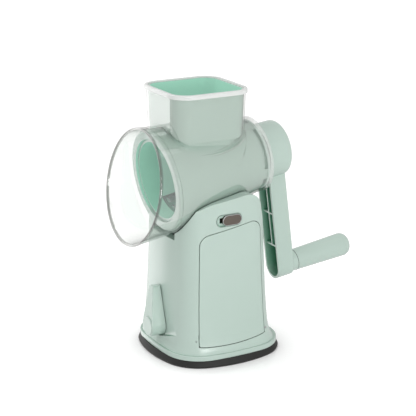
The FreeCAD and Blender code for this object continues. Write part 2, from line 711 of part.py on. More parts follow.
def tower_shell():
    outer = column_form(0.0).fuse(flange_band())
    cavity = column_form(SHELL_WALL)
    well_block = box(-WELL_HALF_X - WELL_WALL, WELL_HALF_X + WELL_WALL, -FAR,
                     WELL_BACK_Y + WELL_WALL, WELL_FLOOR_Z - WELL_WALL, FAR)
    lever_pad = box(-FAR, FAR, -FAR, LEVER_PAD_Y, FLOOR_Z + SKIN_GAP, LEVER_Z + LEVER_PAD_ABOVE)
    frame_y = SLIDER_TRACK_LENGTH / 2 + SLIDER_FRAME_Y
    frame_z = SLIDER_TRACK_HEIGHT / 2 + SLIDER_FRAME_Z
    slider_pad = box(TRACK_FLOOR_X - SLIDER_PAD, FAR, SLIDER_Y - frame_y, SLIDER_Y + frame_y,
                     SLIDER_Z - frame_z, SLIDER_Z + frame_z)
    shell = outer.cut(cavity.cut(fuse_all([well_block, lever_pad, slider_pad])))
    bosses = [cyl_z(BASE_BOSS_R, FLOOR_Z, BASE_BOSS_TOP, x, y) for x, y in BOSS_PLACES]
    shell = shell.fuse(fuse_all(bosses + hinge_ears()).common(column_loft(SKIN_GAP)))
    well = box(-WELL_HALF_X, WELL_HALF_X, -FAR, WELL_BACK_Y, WELL_FLOOR_Z, FAR)
    window = box(LATCH_REACH_X[0] - LATCH_WINDOW, LATCH_REACH_X[1] + LATCH_WINDOW, WELL_BACK_Y - FUSE,
                 WELL_BACK_Y + WELL_WALL + FUSE, LATCH_Z - LATCH_WINDOW,
                 LATCH_Z + LATCH_TALL + LATCH_WINDOW)
    door_hole = door_prism(DOOR_GAP, DOOR_HINGE_X - DOOR_SWING_ROOM, FAR)
    pins = cyl_y(DOOR_PIN_R + RUN_GAP, DOOR_MID_Y - DOOR_PIN_Y - BODY_GAP,
                 DOOR_MID_Y + DOOR_PIN_Y + BODY_GAP, DOOR_HINGE_X, DOOR_HINGE_Z)
    recess = pill_x(SLIDER_TRACK_LENGTH, SLIDER_TRACK_HEIGHT, TRACK_FLOOR_X, FAR, SLIDER_Y, SLIDER_Z)
    bush_hole = cyl_y(LEVER_BUSH_R, -FAR, 0.0, 0.0, LEVER_Z)
    screw_holes = [cyl_z(BASE_SCREW_R, 0.0, BASE_SCREW_HOLE_Z, x, y) for x, y in BOSS_PLACES]
    cuts = [well, window, door_hole, hinge_trough(BODY_GAP), pins, recess, slider_slot(),
            lever_room(), bush_hole]
    return one_solid(shell.cut(cuts + screw_holes))


def lever_bush():
    tube = cyl_y(LEVER_BUSH_R, LEVER_SEAT_Y, LEVER_PAD_Y + LEVER_BUSH_BACK, 0.0, LEVER_Z)
    flange = cyl_y(LEVER_BUSH_FLANGE_R, LEVER_PAD_Y, LEVER_PAD_Y + LEVER_BUSH_FLANGE_THICK, 0.0, LEVER_Z)
    return tube.fuse(flange).cut(cyl_y(CAM_SHAFT_R + RUN_GAP, -FAR, FAR, 0.0, LEVER_Z)).removeSplitter()


def base_plate():
    wire = column_wire(FLOOR_Z, SHELL_WALL + BASE_PLATE_FIT)
    wire.translate(V(0, 0, BASE_Z - FLOOR_Z))
    plate = Part.Face(wire).extrude(V(0, 0, BASE_PLATE_THICK))
    post = box(-POST_HALF, POST_HALF, POST_Y[0], POST_Y[1], FLOOR_Z - FUSE, LEVER_Z)
    head = cyl_y(POST_HALF, POST_Y[0], POST_Y[1], 0.0, LEVER_Z)
    foot = box(-POST_HALF - POST_FOOT, POST_HALF + POST_FOOT, POST_Y[0] - POST_FOOT_Y,
               POST_Y[1] + POST_FOOT_Y, FLOOR_Z - FUSE, FLOOR_Z + BASE_PLATE_THICK)
    plate = fuse_all([plate, post, head, foot])
    cuts = [cyl_y(CAM_SHAFT_R + RUN_GAP, -FAR, FAR, 0.0, LEVER_Z),
            cyl_z(STUD_R + BODY_GAP, 0.0, FLOOR_Z + FUSE)]
    for x, y in BOSS_PLACES:
        cuts.append(cyl_z(BASE_SCREW_R, 0.0, LEVER_Z, x, y))
        cuts.append(cyl_z(BASE_SCREW_HEAD_R, 0.0, BASE_Z + BASE_SCREW_HEAD_TALL, x, y))
    return one_solid(plate.cut(cuts))


def base_screws():
    screws = []
    for x, y in BOSS_PLACES:
        head = cyl_z(BASE_SCREW_HEAD_R, BASE_Z, BASE_Z + BASE_SCREW_HEAD_TALL, x, y)
        shank = cyl_z(BASE_SCREW_R, BASE_Z, BASE_SCREW_END_Z, x, y)
        screws.append(head.fuse(shank).removeSplitter())
    return Part.makeCompound(screws)


def foot_ring():
    rings = ((0.0, FOOT_HALF - FOOT_EDGE, FOOT_CORNER), (FOOT_EDGE_Z, FOOT_HALF, FOOT_CORNER),
             (BASE_Z, FOOT_TOP_HALF, FOOT_TOP_CORNER))
    wires = [bowed_section(half, half, corner, FOOT_ARC, z, 0.0) for z, half, corner in rings]
    return one_solid(Part.makeLoft(wires, True, True).cut(cyl_z(FOOT_BORE_R, -FUSE, BASE_Z + FUSE)))


def suction_cup():
    disc = cyl_z(CUP_R, 0.0, CUP_THICK)
    cone = Part.makeCone(CUP_CONE_R, CUP_BOSS_R, CUP_CONE_TALL, V(0, 0, CUP_THICK))
    boss = cyl_z(CUP_BOSS_R, CUP_THICK, CUP_BOSS_TOP)
    stud = cyl_z(STUD_R, CUP_STUD_Z, FAR)
    return one_solid(fuse_all([disc, cone, boss]).cut(stud))


def suction_stud():
    low = CAM_R + YOKE_LOW_GAP
    high = CAM_R + YOKE_HIGH_GAP
    half = CAM_R + CAM_OFFSET + YOKE_SIDE_GAP
    frame = box(-half - YOKE_BAR, half + YOKE_BAR, -YOKE_THICK / 2, YOKE_THICK / 2,
                LEVER_Z - low - YOKE_BAR, LEVER_Z + high + YOKE_BAR)
    window = box(-half, half, -YOKE_THICK, YOKE_THICK, LEVER_Z - low, LEVER_Z + high)
    rod = cyl_z(STUD_R, CUP_STUD_Z, LEVER_Z - low - YOKE_BAR / 2)
    return one_solid(fuse_all([frame.cut(window), rod]))


def cam_shaft():
    shaft = cyl_y(CAM_SHAFT_R, LEVER_FACE_Y + CAM_SHAFT_SINK, POST_Y[1] + CAM_SHAFT_TAIL, 0.0, LEVER_Z)
    cam = cyl_y(CAM_R, -CAM_WIDTH / 2, CAM_WIDTH / 2, -CAM_OFFSET, LEVER_Z)
    groove = cyl_y(CAM_SHAFT_R + FUSE, CLIP_A[0], CLIP_A[1], 0.0, LEVER_Z)
    groove = groove.cut(cyl_y(CAM_SHAFT_R - CLIP_GROOVE, -FAR, FAR, 0.0, LEVER_Z))
    return one_solid(shaft.fuse(cam).cut(groove).removeSplitter())


def shaft_clip():
    ring = cyl_y(CLIP_R, CLIP_A[0], CLIP_A[1], 0.0, LEVER_Z)
    ring = ring.cut(cyl_y(CAM_SHAFT_R - CLIP_GROOVE, -FAR, FAR, 0.0, LEVER_Z))
    return one_solid(ring.cut(box(-CLIP_SLOT, CLIP_SLOT, -FAR, FAR, -FAR, LEVER_Z)))


def clamp_lever():
    outline = lever_outline(0.0, -LEVER_LEAN, LEVER_FACE_Y, LEVER_BACK_Y)
    # the front face falls back from the hub to the tip
    tip_y = LEVER_BACK_Y - LEVER_TIP_THICK
    slope = [(LEVER_FACE_Y, 0.0), (LEVER_FACE_Y, LEVER_Z + LEVER_FALL_Z),
             (tip_y, LEVER_Z + LEVER_LENGTH), (tip_y, FAR), (LEVER_BACK_Y + FUSE, FAR),
             (LEVER_BACK_Y + FUSE, 0.0)]
    keep = prism_x(slope, -FAR, FAR)
    keep.rotate(V(0, 0, LEVER_Z), V(0, 1, 0), -LEVER_LEAN)
    lever = outline.common(keep)
    lever = lever.makeFillet(LEVER_EDGE, [e for e in lever.Edges if e.BoundBox.YMax < LEVER_BACK_Y - FUSE])
    bore = cyl_y(CAM_SHAFT_R, LEVER_FACE_Y + CAM_SHAFT_SINK, 0.0, 0.0, LEVER_Z)
    cap_seat = cyl_y(LEVER_CAP_R, -FAR, LEVER_FACE_Y + LEVER_CAP_SINK, 0.0, LEVER_Z)
    return one_solid(lever.cut([bore, cap_seat]))


def lever_cap():
    return cyl_y(LEVER_CAP_R, LEVER_FACE_Y - LEVER_CAP_PROUD, LEVER_FACE_Y + LEVER_CAP_SINK, 0.0, LEVER_Z)


# ------------------------------------------------------------------ storage bay
def storage_liner():
    front = DOOR_THICK + SKIN_GAP
    plate = column_loft(front).cut(column_loft(front + LINER_WALL))
    plate = plate.common(door_prism(LINER_REACH, LINER_INNER_X, FAR))
    side = SLIDER_TRACK_LENGTH / 2 + LINER_SIDE_GAP
    plate = plate.cut([hinge_trough(2 * BODY_GAP),
                       box(-FAR, FAR, -FAR, FAR, -FAR, DOOR_HINGE_Z + LINER_FOOT),
                       box(LATCH_X, FAR, SLIDER_Y - side, SLIDER_Y + side,
                           SLIDER_Z - SLIDER_TRACK_HEIGHT / 2 - LINER_TOP_GAP, FAR)])
    y0, y1 = DOOR_MID_Y - BAY_HALF_Y, DOOR_MID_Y + BAY_HALF_Y
    front_x = side_x_at(BAY_TOP_Z) - DOOR_THICK - BAY_RIM_BACK
    tub = box(BAY_BACK_X - LINER_WALL, front_x, y0 - LINER_WALL, y1 + LINER_WALL,
              BAY_BOTTOM_Z - LINER_WALL, BAY_TOP_Z + LINER_WALL)
    hollow = box(BAY_BACK_X, FAR, y0, y1, BAY_BOTTOM_Z, BAY_TOP_Z)
    tub = tub.common(column_loft(front))
    return one_solid(plate.fuse(tub).cut(hollow).removeSplitter())


def hinge_rods(radius, start, stop):
    """Two round rods on the hinge axis, from start to stop beside the door's middle."""
    rods = []
    for side in (-1, 1):
        ends = sorted((DOOR_MID_Y + side * start, DOOR_MID_Y + side * stop))
        rods.append(cyl_y(radius, ends[0], ends[1], DOOR_HINGE_X, DOOR_HINGE_Z))
    return rods


def storage_door():
    panel = column_loft(0.0).cut(column_loft(DOOR_THICK)).common(door_prism(0.0, LINER_INNER_X, FAR))
    lugs = hinge_rods(DOOR_LUG_R, DOOR_HALF_BOTTOM - DOOR_LUG_LENGTH, DOOR_HALF_BOTTOM)
    panel = one_solid(panel).fuse(fuse_all(lugs).common(column_loft(SKIN_GAP)))
    bores = hinge_rods(DOOR_PIN_R, DOOR_HALF_BOTTOM - DOOR_PIN_IN, FAR)
    dimple = Part.makeSphere(DIMPLE_R, V(side_x_at(DIMPLE_Z) + DIMPLE_R * DIMPLE_OUT, DIMPLE_Y, DIMPLE_Z))
    return one_solid(panel.cut(bores + [dimple]).removeSplitter())


def door_pins():
    return Part.makeCompound(hinge_rods(DOOR_PIN_R, DOOR_HALF_BOTTOM - DOOR_PIN_IN, DOOR_PIN_Y))


# ------------------------------------------------------------------ release slider
def slider_slot():
    """The slot that the knob's stem runs in."""
    return box(LATCH_X + LATCH_THICK, FAR, STEM_Y - STEM_HALF_Y - SLIDER_TRAVEL - BODY_GAP,
               STEM_Y + STEM_HALF_Y + BODY_GAP, SLIDER_Z - STEM_HALF_Z - BODY_GAP,
               SLIDER_Z + STEM_HALF_Z + BODY_GAP)


def slider_track():
    """Liner in the wall's recess: a thin floor with a rim round it."""
    tray = pill_x(SLIDER_TRACK_LENGTH - 2 * FIT_GAP, SLIDER_TRACK_HEIGHT - 2 * FIT_GAP,
                  TRACK_FLOOR_X + FIT_GAP, SLIDER_FACE_X + TRACK_PROUD, SLIDER_Y, SLIDER_Z)
    room = pill_x(SLIDER_TRACK_LENGTH - 2 * TRACK_WALL, SLIDER_TRACK_HEIGHT - 2 * TRACK_WALL,
                  TRACK_FLOOR_X + TRACK_WALL, FAR, SLIDER_Y, SLIDER_Z)
    return one_solid(tray.cut([room, slider_slot()]))


def release_knob():
    face_x = SLIDER_FACE_X + KNOB_PROUD
    knob = pill_x(KNOB_LENGTH, SLIDER_TRACK_HEIGHT - 2 * TRACK_WALL - 2 * BODY_GAP, KNOB_BACK_X, face_x,
                  KNOB_Y, SLIDER_Z)
    return one_solid(knob.makeFillet(KNOB_EDGE, [e for e in knob.Edges if e.BoundBox.XMin > face_x - 0.01]))


def latch_plate():
    arm_y = (STEM_Y - STEM_HALF_Y - LATCH_ARM_FRONT, STEM_Y + STEM_HALF_Y + LATCH_ARM_BACK)
    back_x = LATCH_X + LATCH_THICK
    top_z = LATCH_Z + LATCH_TALL
    tongue = box(LATCH_REACH_X[0], LATCH_REACH_X[1], LATCH_TIP_Y, arm_y[1], LATCH_Z, top_z)
    arm = box(LATCH_REACH_X[0], back_x, arm_y[0], arm_y[1], LATCH_Z, top_z)
    riser = box(LATCH_X, back_x, arm_y[0], arm_y[1], LATCH_Z, SLIDER_Z + STEM_HALF_Z + LATCH_ABOVE)
    stem = box(LATCH_X, KNOB_BACK_X, STEM_Y - STEM_HALF_Y, STEM_Y + STEM_HALF_Y,
               SLIDER_Z - STEM_HALF_Z, SLIDER_Z + STEM_HALF_Z)
    return fuse_all([tongue, arm, riser, stem])


# ------------------------------------------------------------------ clear casing
def hopper_block(inset, z0, z1):
    """Hopper's outer form, walls moved in by inset, drafted from the rim down."""
    draft = HOPPER_DRAFT * (z1 - z0) / (HOPPER_TOP_Z - HOPPER_LOW_Z)
    return rounded_prism(HOPPER_HALF_X - inset, HOPPER_HALF_Y - inset, HOPPER_CORNER - inset,
                         z0, z1, HOPPER_Y, draft)


def arch_block(raise_by):
    """Everything under the chute's arched lower edge."""
    return cyl_y(CHUTE_FLOOR_ARC + raise_by, -FAR, FAR, 0.0, CHUTE_FLOOR_Z - CHUTE_FLOOR_ARC)


def under_ledge(drop):
    """Everything under the saddle ledge, lowered by drop: level, then a rising arc."""
    level = LEDGE_LOW_Z - drop
    high = LEDGE_HIGH_Z - drop
    run = LEDGE_HIGH_Y - LEDGE_LEVEL_Y
    arc_r = (run ** 2 + (high - level) ** 2) / (2 * (high - level))
    sweep = math.asin(run / arc_r)
    middle = V(0, LEDGE_LEVEL_Y + arc_r * math.sin(sweep / 2), level + arc_r * (1 - math.cos(sweep / 2)))
    end = V(0, LEDGE_HIGH_Y, high)
    far = V(0, LEDGE_HIGH_Y + LEDGE_END * math.cos(sweep), high + LEDGE_END * math.sin(sweep))
    start = V(0, LEDGE_LEVEL_Y, level)
    corners = [far, V(0, far.y, 0), V(0, -FAR, 0), V(0, -FAR, level), start]
    edges = [Part.Arc(start, middle, end).toShape(), Part.LineSegment(end, far).toShape()]
    for first, last in zip(corners, corners[1:]):
        edges.append(Part.LineSegment(first, last).toShape())
    face = Part.Face(Part.Wire(edges))
    face.translate(V(-FAR / 2, 0, 0))
    return face.extrude(V(FAR, 0, 0))


def clear_casing():
    low_z = AXIS_Z + CASING_LOW
    sleeve = sleeve_cone(0.0, SLEEVE_FRONT_A, SLEEVE_BACK_A)
    collar = on_axis(cyl_y(COLLAR_R, SLEEVE_BACK_A - FUSE, COLLAR_BACK_A))
    hopper = hopper_block(0.0, low_z, HOPPER_TOP_Z).cut(under_ledge(SADDLE_THICK))
    rim = rounded_prism(HOPPER_HALF_X + RIM_PROUD, HOPPER_HALF_Y + RIM_PROUD, HOPPER_CORNER + RIM_PROUD,
                        HOPPER_TOP_Z - RIM_HEIGHT, HOPPER_TOP_Z, HOPPER_Y)
    rim = rim.makeFillet(RIM_EDGE, [e for e in rim.Edges if e.BoundBox.ZMin > HOPPER_TOP_Z - 0.01])
    ledge = rounded_prism(HOPPER_LOW_HALF_X + SADDLE_MARGIN, HOPPER_LOW_HALF_Y + SADDLE_BACK,
                          HOPPER_CORNER + SADDLE_MARGIN, low_z, HOPPER_TOP_Z - SADDLE_RISE, HOPPER_Y)
    band = ledge.common(under_ledge(0.0)).cut(under_ledge(SADDLE_THICK))
    saddle = ledge.common(sleeve_cone(SADDLE_THICK, SLEEVE_FRONT_A + FUSE, SLEEVE_BACK_A - SADDLE_MARGIN))
    neck = rounded_prism(NECK_HALF_X, NECK_HALF_Y, THROAT_CORNER + CLEAR_WALL, low_z,
                         LEDGE_HIGH_Z - FUSE, HOPPER_Y)
    body = fuse_all([sleeve, collar, bell_solid(0.0), hopper, rim, band, saddle, neck])
    inner_bell = Part.makeLoft([ring_wire(MOUTH_R - CLEAR_WALL),
                                ring_wire(SLEEVE_FRONT_R - CLEAR_WALL, SLEEVE_FRONT_A)], True, True)
    bore = sleeve_cone(-CLEAR_WALL, SLEEVE_FRONT_A, SLEEVE_BACK_A)
    collar_bore = on_axis(cyl_y(SLEEVE_BACK_R - CLEAR_WALL, SLEEVE_BACK_A - FUSE / 2, COLLAR_BACK_A + FUSE))
    # the room for the green chute: straight walls above its arch, a neck below it
    chute_room = hopper_block(HOPPER_WALL, low_z, HOPPER_TOP_Z)
    over_ledge = chute_room.cut(under_ledge(0.0))
    chute_room = chute_room.cut(arch_block(-FIT_GAP))
    throat = rounded_prism(NECK_HALF_X - CLEAR_WALL, NECK_HALF_Y - CLEAR_WALL, THROAT_CORNER,
                           AXIS_Z, CHUTE_FLOOR_Z, HOPPER_Y)
    body = one_solid(body.cut([inner_bell, bore, collar_bore, over_ledge, chute_room, throat]))
    bead = Part.makeTorus(MOUTH_R - CLEAR_WALL / 2, MOUTH_BEAD_R, V(0, 0, 0), V(0, 1, 0))
    bead.rotate(V(0, 0, 0), V(1, 0, 0), -MOUTH_TILT)
    bead.translate(V(0, MOUTH_Y, MOUTH_Z))
    return one_solid(body.fuse(bead))


# ------------------------------------------------------------------ green barrel
def sleeve_bore(a):
    return between(a, LIP_FRONT_A, LIP_BORE_R, DRUM_SLEEVE_A[1], SLEEVE_BORE_BACK_R)


def barrel_radius(a):
    return sleeve_radius(a) - CLEAR_WALL - FIT_GAP


def throat_room(z0, z1):
    """The chute's open neck."""
    return rounded_prism(THROAT_HALF_X - CHUTE_WALL, THROAT_HALF_Y - CHUTE_WALL,
                         THROAT_CORNER - CHUTE_WALL, z0, z1, HOPPER_Y)


def inner_barrel():
    outer = on_axis(cone_y(barrel_radius(LIP_ROOT_A), barrel_radius(BARREL_BACK_A),
                           LIP_ROOT_A, BARREL_BACK_A))
    lip = cyl_y(barrel_radius(LIP_ROOT_A) - LIP_IN, LIP_FRONT_A, LIP_ROOT_A + FUSE)
    lip = lip.makeFillet(LIP_ROUND, [e for e in lip.Edges if abs(e.BoundBox.YMax - LIP_FRONT_A) < 0.01])
    low_z = AXIS_Z + CASING_LOW
    inset = HOPPER_WALL + FIT_GAP
    chute = hopper_block(inset, low_z, HOPPER_TOP_Z - CHUTE_TOP_DROP).cut(arch_block(0.0))
    chute_hollow = hopper_block(inset + CHUTE_WALL, low_z, HOPPER_TOP_Z).cut(arch_block(CHUTE_WALL))
    neck = rounded_prism(THROAT_HALF_X, THROAT_HALF_Y, THROAT_CORNER, AXIS_Z, CHUTE_FLOOR_Z, HOPPER_Y)
    body = fuse_all([outer, on_axis(lip), chute, neck])
    bore = on_axis(cone_y(barrel_radius(LIP_BACK_A) - BARREL_WALL, barrel_radius(BARREL_BACK_A) - BARREL_WALL,
                          LIP_BACK_A, BARREL_BACK_A))
    seat_a = (LIP_FRONT_A + LIP_DEPTH, LIP_BACK_A + SEAT_LENGTH)
    seat = on_axis(cone_y(sleeve_bore(LIP_FRONT_A) + SLEEVE_WALL, sleeve_bore(seat_a[1]) + SLEEVE_WALL,
                          *seat_a))
    hole = on_axis(cyl_y(LIP_BORE_R, LIP_FRONT_A - FUSE, seat_a[0] + FUSE))
    throat = throat_room(AXIS_Z, HOPPER_TOP_Z - SADDLE_RISE)
    return one_solid(body.cut([bore, seat, hole, chute_hollow, throat]))


def drum_sleeve():
    a0, a1 = DRUM_SLEEVE_A
    outer = on_axis(cone_y(sleeve_bore(a0) + SLEEVE_WALL, sleeve_bore(a1) + SLEEVE_WALL, a0, a1))
    bore = on_axis(cone_y(sleeve_bore(a0), sleeve_bore(a1), a0, a1))
    return one_solid(outer.cut([bore, throat_room(AXIS_Z, HOPPER_TOP_Z)]))


def rear_plate():
    disc_r = SLEEVE_BACK_R - CLEAR_WALL
    disc = cyl_y(disc_r, PLATE_A[0], PLATE_A[1])
    spigot = cyl_y(SLEEVE_BORE_BACK_R + SLEEVE_WALL - PLATE_FIT, DRUM_SLEEVE_A[1], PLATE_A[0])
    tabs = []
    for angle in TAB_ANGLES:
        tab = box(-TAB_HALF, TAB_HALF, BARREL_BACK_A, PLATE_A[0] + FUSE, disc_r - TAB_GAP - TAB_THICK,
                  disc_r - TAB_GAP)
        tab.rotate(V(0, 0, 0), V(0, 1, 0), angle)
        tabs.append(tab)
    body = fuse_all([disc, spigot] + tabs)
    cuts = [cyl_y(BUSH_R, -FAR, FAR)]
    for x, z in plate_screw_places():
        cuts.append(cyl_y(PLATE_SCREW_SHANK, PLATE_A[0] - PLATE_SCREW_IN, FAR, x, z))
    return on_axis(one_solid(body.cut(cuts)))


def plate_screw_places():
    turns = [math.radians(angle) for angle in (0.0, 120.0, 240.0)]
    return [(PLATE_SCREW_CIRCLE * math.sin(turn), PLATE_SCREW_CIRCLE * math.cos(turn)) for turn in turns]


def bearing_bush():
    tube = cyl_y(BUSH_R, BUSH_A[0], BUSH_A[1])
    flange = cyl_y(BUSH_FLANGE_R, PLATE_A[1], PLATE_A[1] + BUSH_FLANGE_THICK)
    cuts = [cyl_y(SHAFT_R + RUN_GAP, -FAR, FAR)]
    cuts += [cyl_y(PLATE_SCREW_SHANK, -FAR, FAR, x, z) for x, z in plate_screw_places()]
    return on_axis(one_solid(tube.fuse(flange).cut(cuts)))


def plate_screws():
    screws = []
    seat = PLATE_A[1] + BUSH_FLANGE_THICK
    for x, z in plate_screw_places():
        shank = cyl_y(PLATE_SCREW_SHANK, PLATE_A[0] - PLATE_SCREW_IN, seat, x, z)
        head = cyl_y(PLATE_SCREW_HEAD_R, seat, seat + PLATE_SCREW_HEAD, x, z)
        screws.append(on_axis(shank.fuse(head)))
    return Part.makeCompound(screws)


def rail_key():
    block = box(-KEY_HALF_X, KEY_HALF_X, KEY_FRONT_Y, KEY_BACK_Y, WELL_FLOOR_Z + KEY_SEAT_GAP, AXIS_Z)
    block = block.cut(sleeve_cone(0.0, SLEEVE_FRONT_A, SLEEVE_BACK_A))
    lower = min(block.Solids, key=lambda solid: solid.CenterOfMass.z)
    step = box(-FAR, FAR, KEY_BACK_Y - KEY_STEP_DEPTH, FAR, LATCH_Z - KEY_STEP_GAP, FAR)
    return one_solid(lower.cut(step))


# ------------------------------------------------------------------ drum
def drum_radius(a):
    return sleeve_bore(a) - DRUM_GAP


def drum_cone(inset, a0, a1):
    return cone_y(drum_radius(a0) - inset, drum_radius(a1) - inset, a0, a1)


def window_wedge(sign, a0, a1):
    """Sector round the axis, upwards or downwards, that a window takes."""
    turn = math.radians(WINDOW_HALF_ANGLE)
    side = V(FAR * math.sin(turn), a0, sign * FAR * math.cos(turn))
    other = V(-side.x, a0, side.z)
    wire = Part.makePolygon([V(0, a0, 0), side, other, V(0, a0, 0)])
    return Part.Face(wire).extrude(V(0, a1 - a0, 0))


def drum_body():
    shell = drum_cone(0.0, DRUM_FRONT_A, DRUM_BACK_A).cut(
        cone_y(drum_radius(DRUM_FRONT_A) - DRUM_WALL, drum_radius(DRUM_BACK_A) - DRUM_WALL,
               DRUM_FRONT_A, DRUM_BACK_A - DRUM_WALL))
    hub = cyl_y(DRUM_HUB_R, SOCKET_A, DRUM_BACK_A)
    side = SQUARE_SIDE / 2 + RUN_GAP
    socket = box(-side, side, SOCKET_A - FUSE, DRUM_BACK_A + FUSE, -side, side)
    windows = [window_wedge(sign, WINDOW_FRONT_A, WINDOW_BACK_A).cut(hub) for sign in (1, -1)]
    return on_axis(one_solid(shell.fuse(hub).cut(windows + [socket])))


def shred_plate(sign):
    """Steel segment that fills one window, with rows of slots."""
    plate = drum_cone(PLATE_FIT_R, WINDOW_FRONT_A, WINDOW_BACK_A).cut(
        drum_cone(PLATE_FIT_R + PLATE_THICK, WINDOW_FRONT_A, WINDOW_BACK_A))
    plate = plate.common(window_wedge(sign, WINDOW_FRONT_A, WINDOW_BACK_A))
    step_a = (WINDOW_BACK_A - WINDOW_FRONT_A) / SLOT_ROWS
    step_turn = 2 * WINDOW_HALF_ANGLE / SLOTS_PER_ROW
    slots = []
    for row in range(SLOT_ROWS):
        a = WINDOW_FRONT_A + (row + 0.5) * step_a
        for i in range(SLOTS_PER_ROW):
            angle = (i - (SLOTS_PER_ROW - 1) / 2) * step_turn
            slot = box(-SLOT_LENGTH / 2, SLOT_LENGTH / 2, a - SLOT_WIDTH / 2, a + SLOT_WIDTH / 2,
                       DRUM_HUB_R, FAR)
            slot.rotate(V(0, 0, 0), V(0, 1, 0), angle + (0.0 if sign > 0 else 180.0))
            slots.append(slot)
    return on_axis(one_solid(plate.cut(slots)))


# ------------------------------------------------------------------ crank
def arm_form(inset, a0, a1):
    """Straight arm with a round lower end, hanging from the hub."""
    half = ARM_HALF - inset
    bar = box(-half, half, a0, a1, -CRANK_RADIUS, 0.0)
    return bar.fuse(cyl_y(half, a0, a1, 0.0, -CRANK_RADIUS)).removeSplitter()


def crank_arm():
    hub = cyl_y(HUB_R, HUB_FRONT_A, HUB_BACK_A)
    hub = hub.makeFillet(HUB_ROUND, [e for e in hub.Edges if abs(e.BoundBox.YMin - HUB_BACK_A) < 0.01])
    arm = arm_form(0.0, ARM_FRONT_A, ARM_BACK_A)
    back = [e for e in arm.Edges if e.BoundBox.YMin > ARM_BACK_A - 0.01]
    arm = arm.makeFillet(ARM_EDGE, [e for e in back if e.BoundBox.ZMax < -FUSE or e.BoundBox.XLength < 0.01])
    hub_room = cyl_y(HUB_R - HUB_WALL, HUB_FRONT_A - FUSE, HUB_BACK_A - HUB_WALL)
    channel = arm_form(ARM_WALL, ARM_FRONT_A - FUSE, ARM_BACK_A - ARM_WALL).cut(cyl_y(HUB_R, -FAR, FAR))
    body = fuse_all([hub, arm]).cut([hub_room, channel])
    rib_a = (ARM_FRONT_A + ARM_RIB_DROP, ARM_BACK_A - ARM_WALL / 2)
    rib_end = ARM_HALF - ARM_WALL / 2
    ribs = [box(-rib_end, rib_end, rib_a[0], rib_a[1], u - RIB_HALF, u + RIB_HALF) for u in CROSS_RIB_U]
    ribs.append(box(-RIB_HALF, RIB_HALF, rib_a[0], rib_a[1], min(CROSS_RIB_U), -HUB_R + FUSE))
    ribs.append(cyl_y(SPINDLE_BOSS_R, SPINDLE_START_A, rib_a[1], 0.0, -CRANK_RADIUS))
    ribs.append(cyl_y(HUB_BOSS_R, BUSH_A[1] + HUB_BOSS_GAP, HUB_BACK_A - HUB_WALL / 2))
    for angle in HUB_WEB_ANGLES:
        # the webs end inside the hub's wall, short of its rounded edge
        web = box(-RIB_HALF, RIB_HALF, ARM_FRONT_A + HUB_WEB_DROP, HUB_BACK_A - 0.9 * HUB_WALL,
                  HUB_BOSS_R - FUSE, HUB_R - 0.8 * HUB_WALL)
        web.rotate(V(0, 0, 0), V(0, 1, 0), angle)
        ribs.append(web)
    body = fuse_all([body] + ribs)
    cuts = [cyl_y(SHAFT_R, -FAR, SHAFT_END_A), cyl_y(SPINDLE_R, -FAR, FAR, 0.0, -CRANK_RADIUS),
            cyl_y(SCREW_SHANK_R, SHAFT_END_A - FUSE, FAR), cyl_y(COVER_R, HUB_BACK_A - COVER_SINK, FAR)]
    return on_axis(one_solid(body.cut(cuts)))


def drive_shaft():
    square = SQUARE_SIDE / 2
    shaft = cyl_y(SHAFT_R, DRUM_BACK_A + BODY_GAP, SHAFT_END_A)
    key = box(-square, square, SOCKET_A, DRUM_BACK_A + SQUARE_LAP, -square, square)
    tap = cyl_y(SCREW_SHANK_R, SHAFT_END_A - SHAFT_TAP, FAR)
    return on_axis(one_solid(shaft.fuse(key).cut(tap)))


def shaft_screw():
    seat = HUB_BACK_A - COVER_SINK
    shank = cyl_y(SCREW_SHANK_R, SHAFT_END_A - SHAFT_TAP, seat)
    return on_axis(shank.fuse(cyl_y(SCREW_HEAD_R, seat, seat + SCREW_HEAD)).removeSplitter())


def hub_cover():
    cover = cyl_y(COVER_R, HUB_BACK_A - COVER_SINK, HUB_BACK_A + COVER_PROUD)
    return on_axis(cover.cut(cyl_y(COVER_ROOM_R, -FAR, HUB_BACK_A - COVER_SKIN)))


def at_grip(shape):
    moved = shape.copy()
    moved.translate(V(0, 0, -CRANK_RADIUS))
    return on_axis(moved)


def grip_spindle():
    rod = cyl_y(SPINDLE_R, SPINDLE_START_A, SPINDLE_END_A)
    head = cyl_y(SPINDLE_HEAD_R, SPINDLE_END_A - SPINDLE_HEAD, SPINDLE_END_A)
    return at_grip(rod.fuse(head).removeSplitter())


def grip_sleeve():
    sleeve = cone_y(GRIP_R, GRIP_END_R, GRIP_START_A, GRIP_END_A)
    bore = cyl_y(SPINDLE_R + RUN_GAP, -FAR, SPINDLE_END_A - SPINDLE_HEAD)
    head_room = cyl_y(SPINDLE_HEAD_R + BODY_GAP, SPINDLE_END_A - SPINDLE_HEAD - BODY_GAP, FAR)
    return at_grip(one_solid(sleeve.cut([bore, head_room])))


def grip_cap():
    end_a = GRIP_END_A + GRIP_DOME
    cap = cyl_y(GRIP_END_R, GRIP_END_A, end_a)
    cap = cap.makeFillet(GRIP_DOME - GRIP_DOME_FLAT, [e for e in cap.Edges
                                                      if abs(e.BoundBox.YMin - end_a) < 0.01])
    plug = cyl_y(SPINDLE_HEAD_R + BODY_GAP, SPINDLE_END_A, GRIP_END_A)
    return at_grip(cap.fuse(plug).removeSplitter())


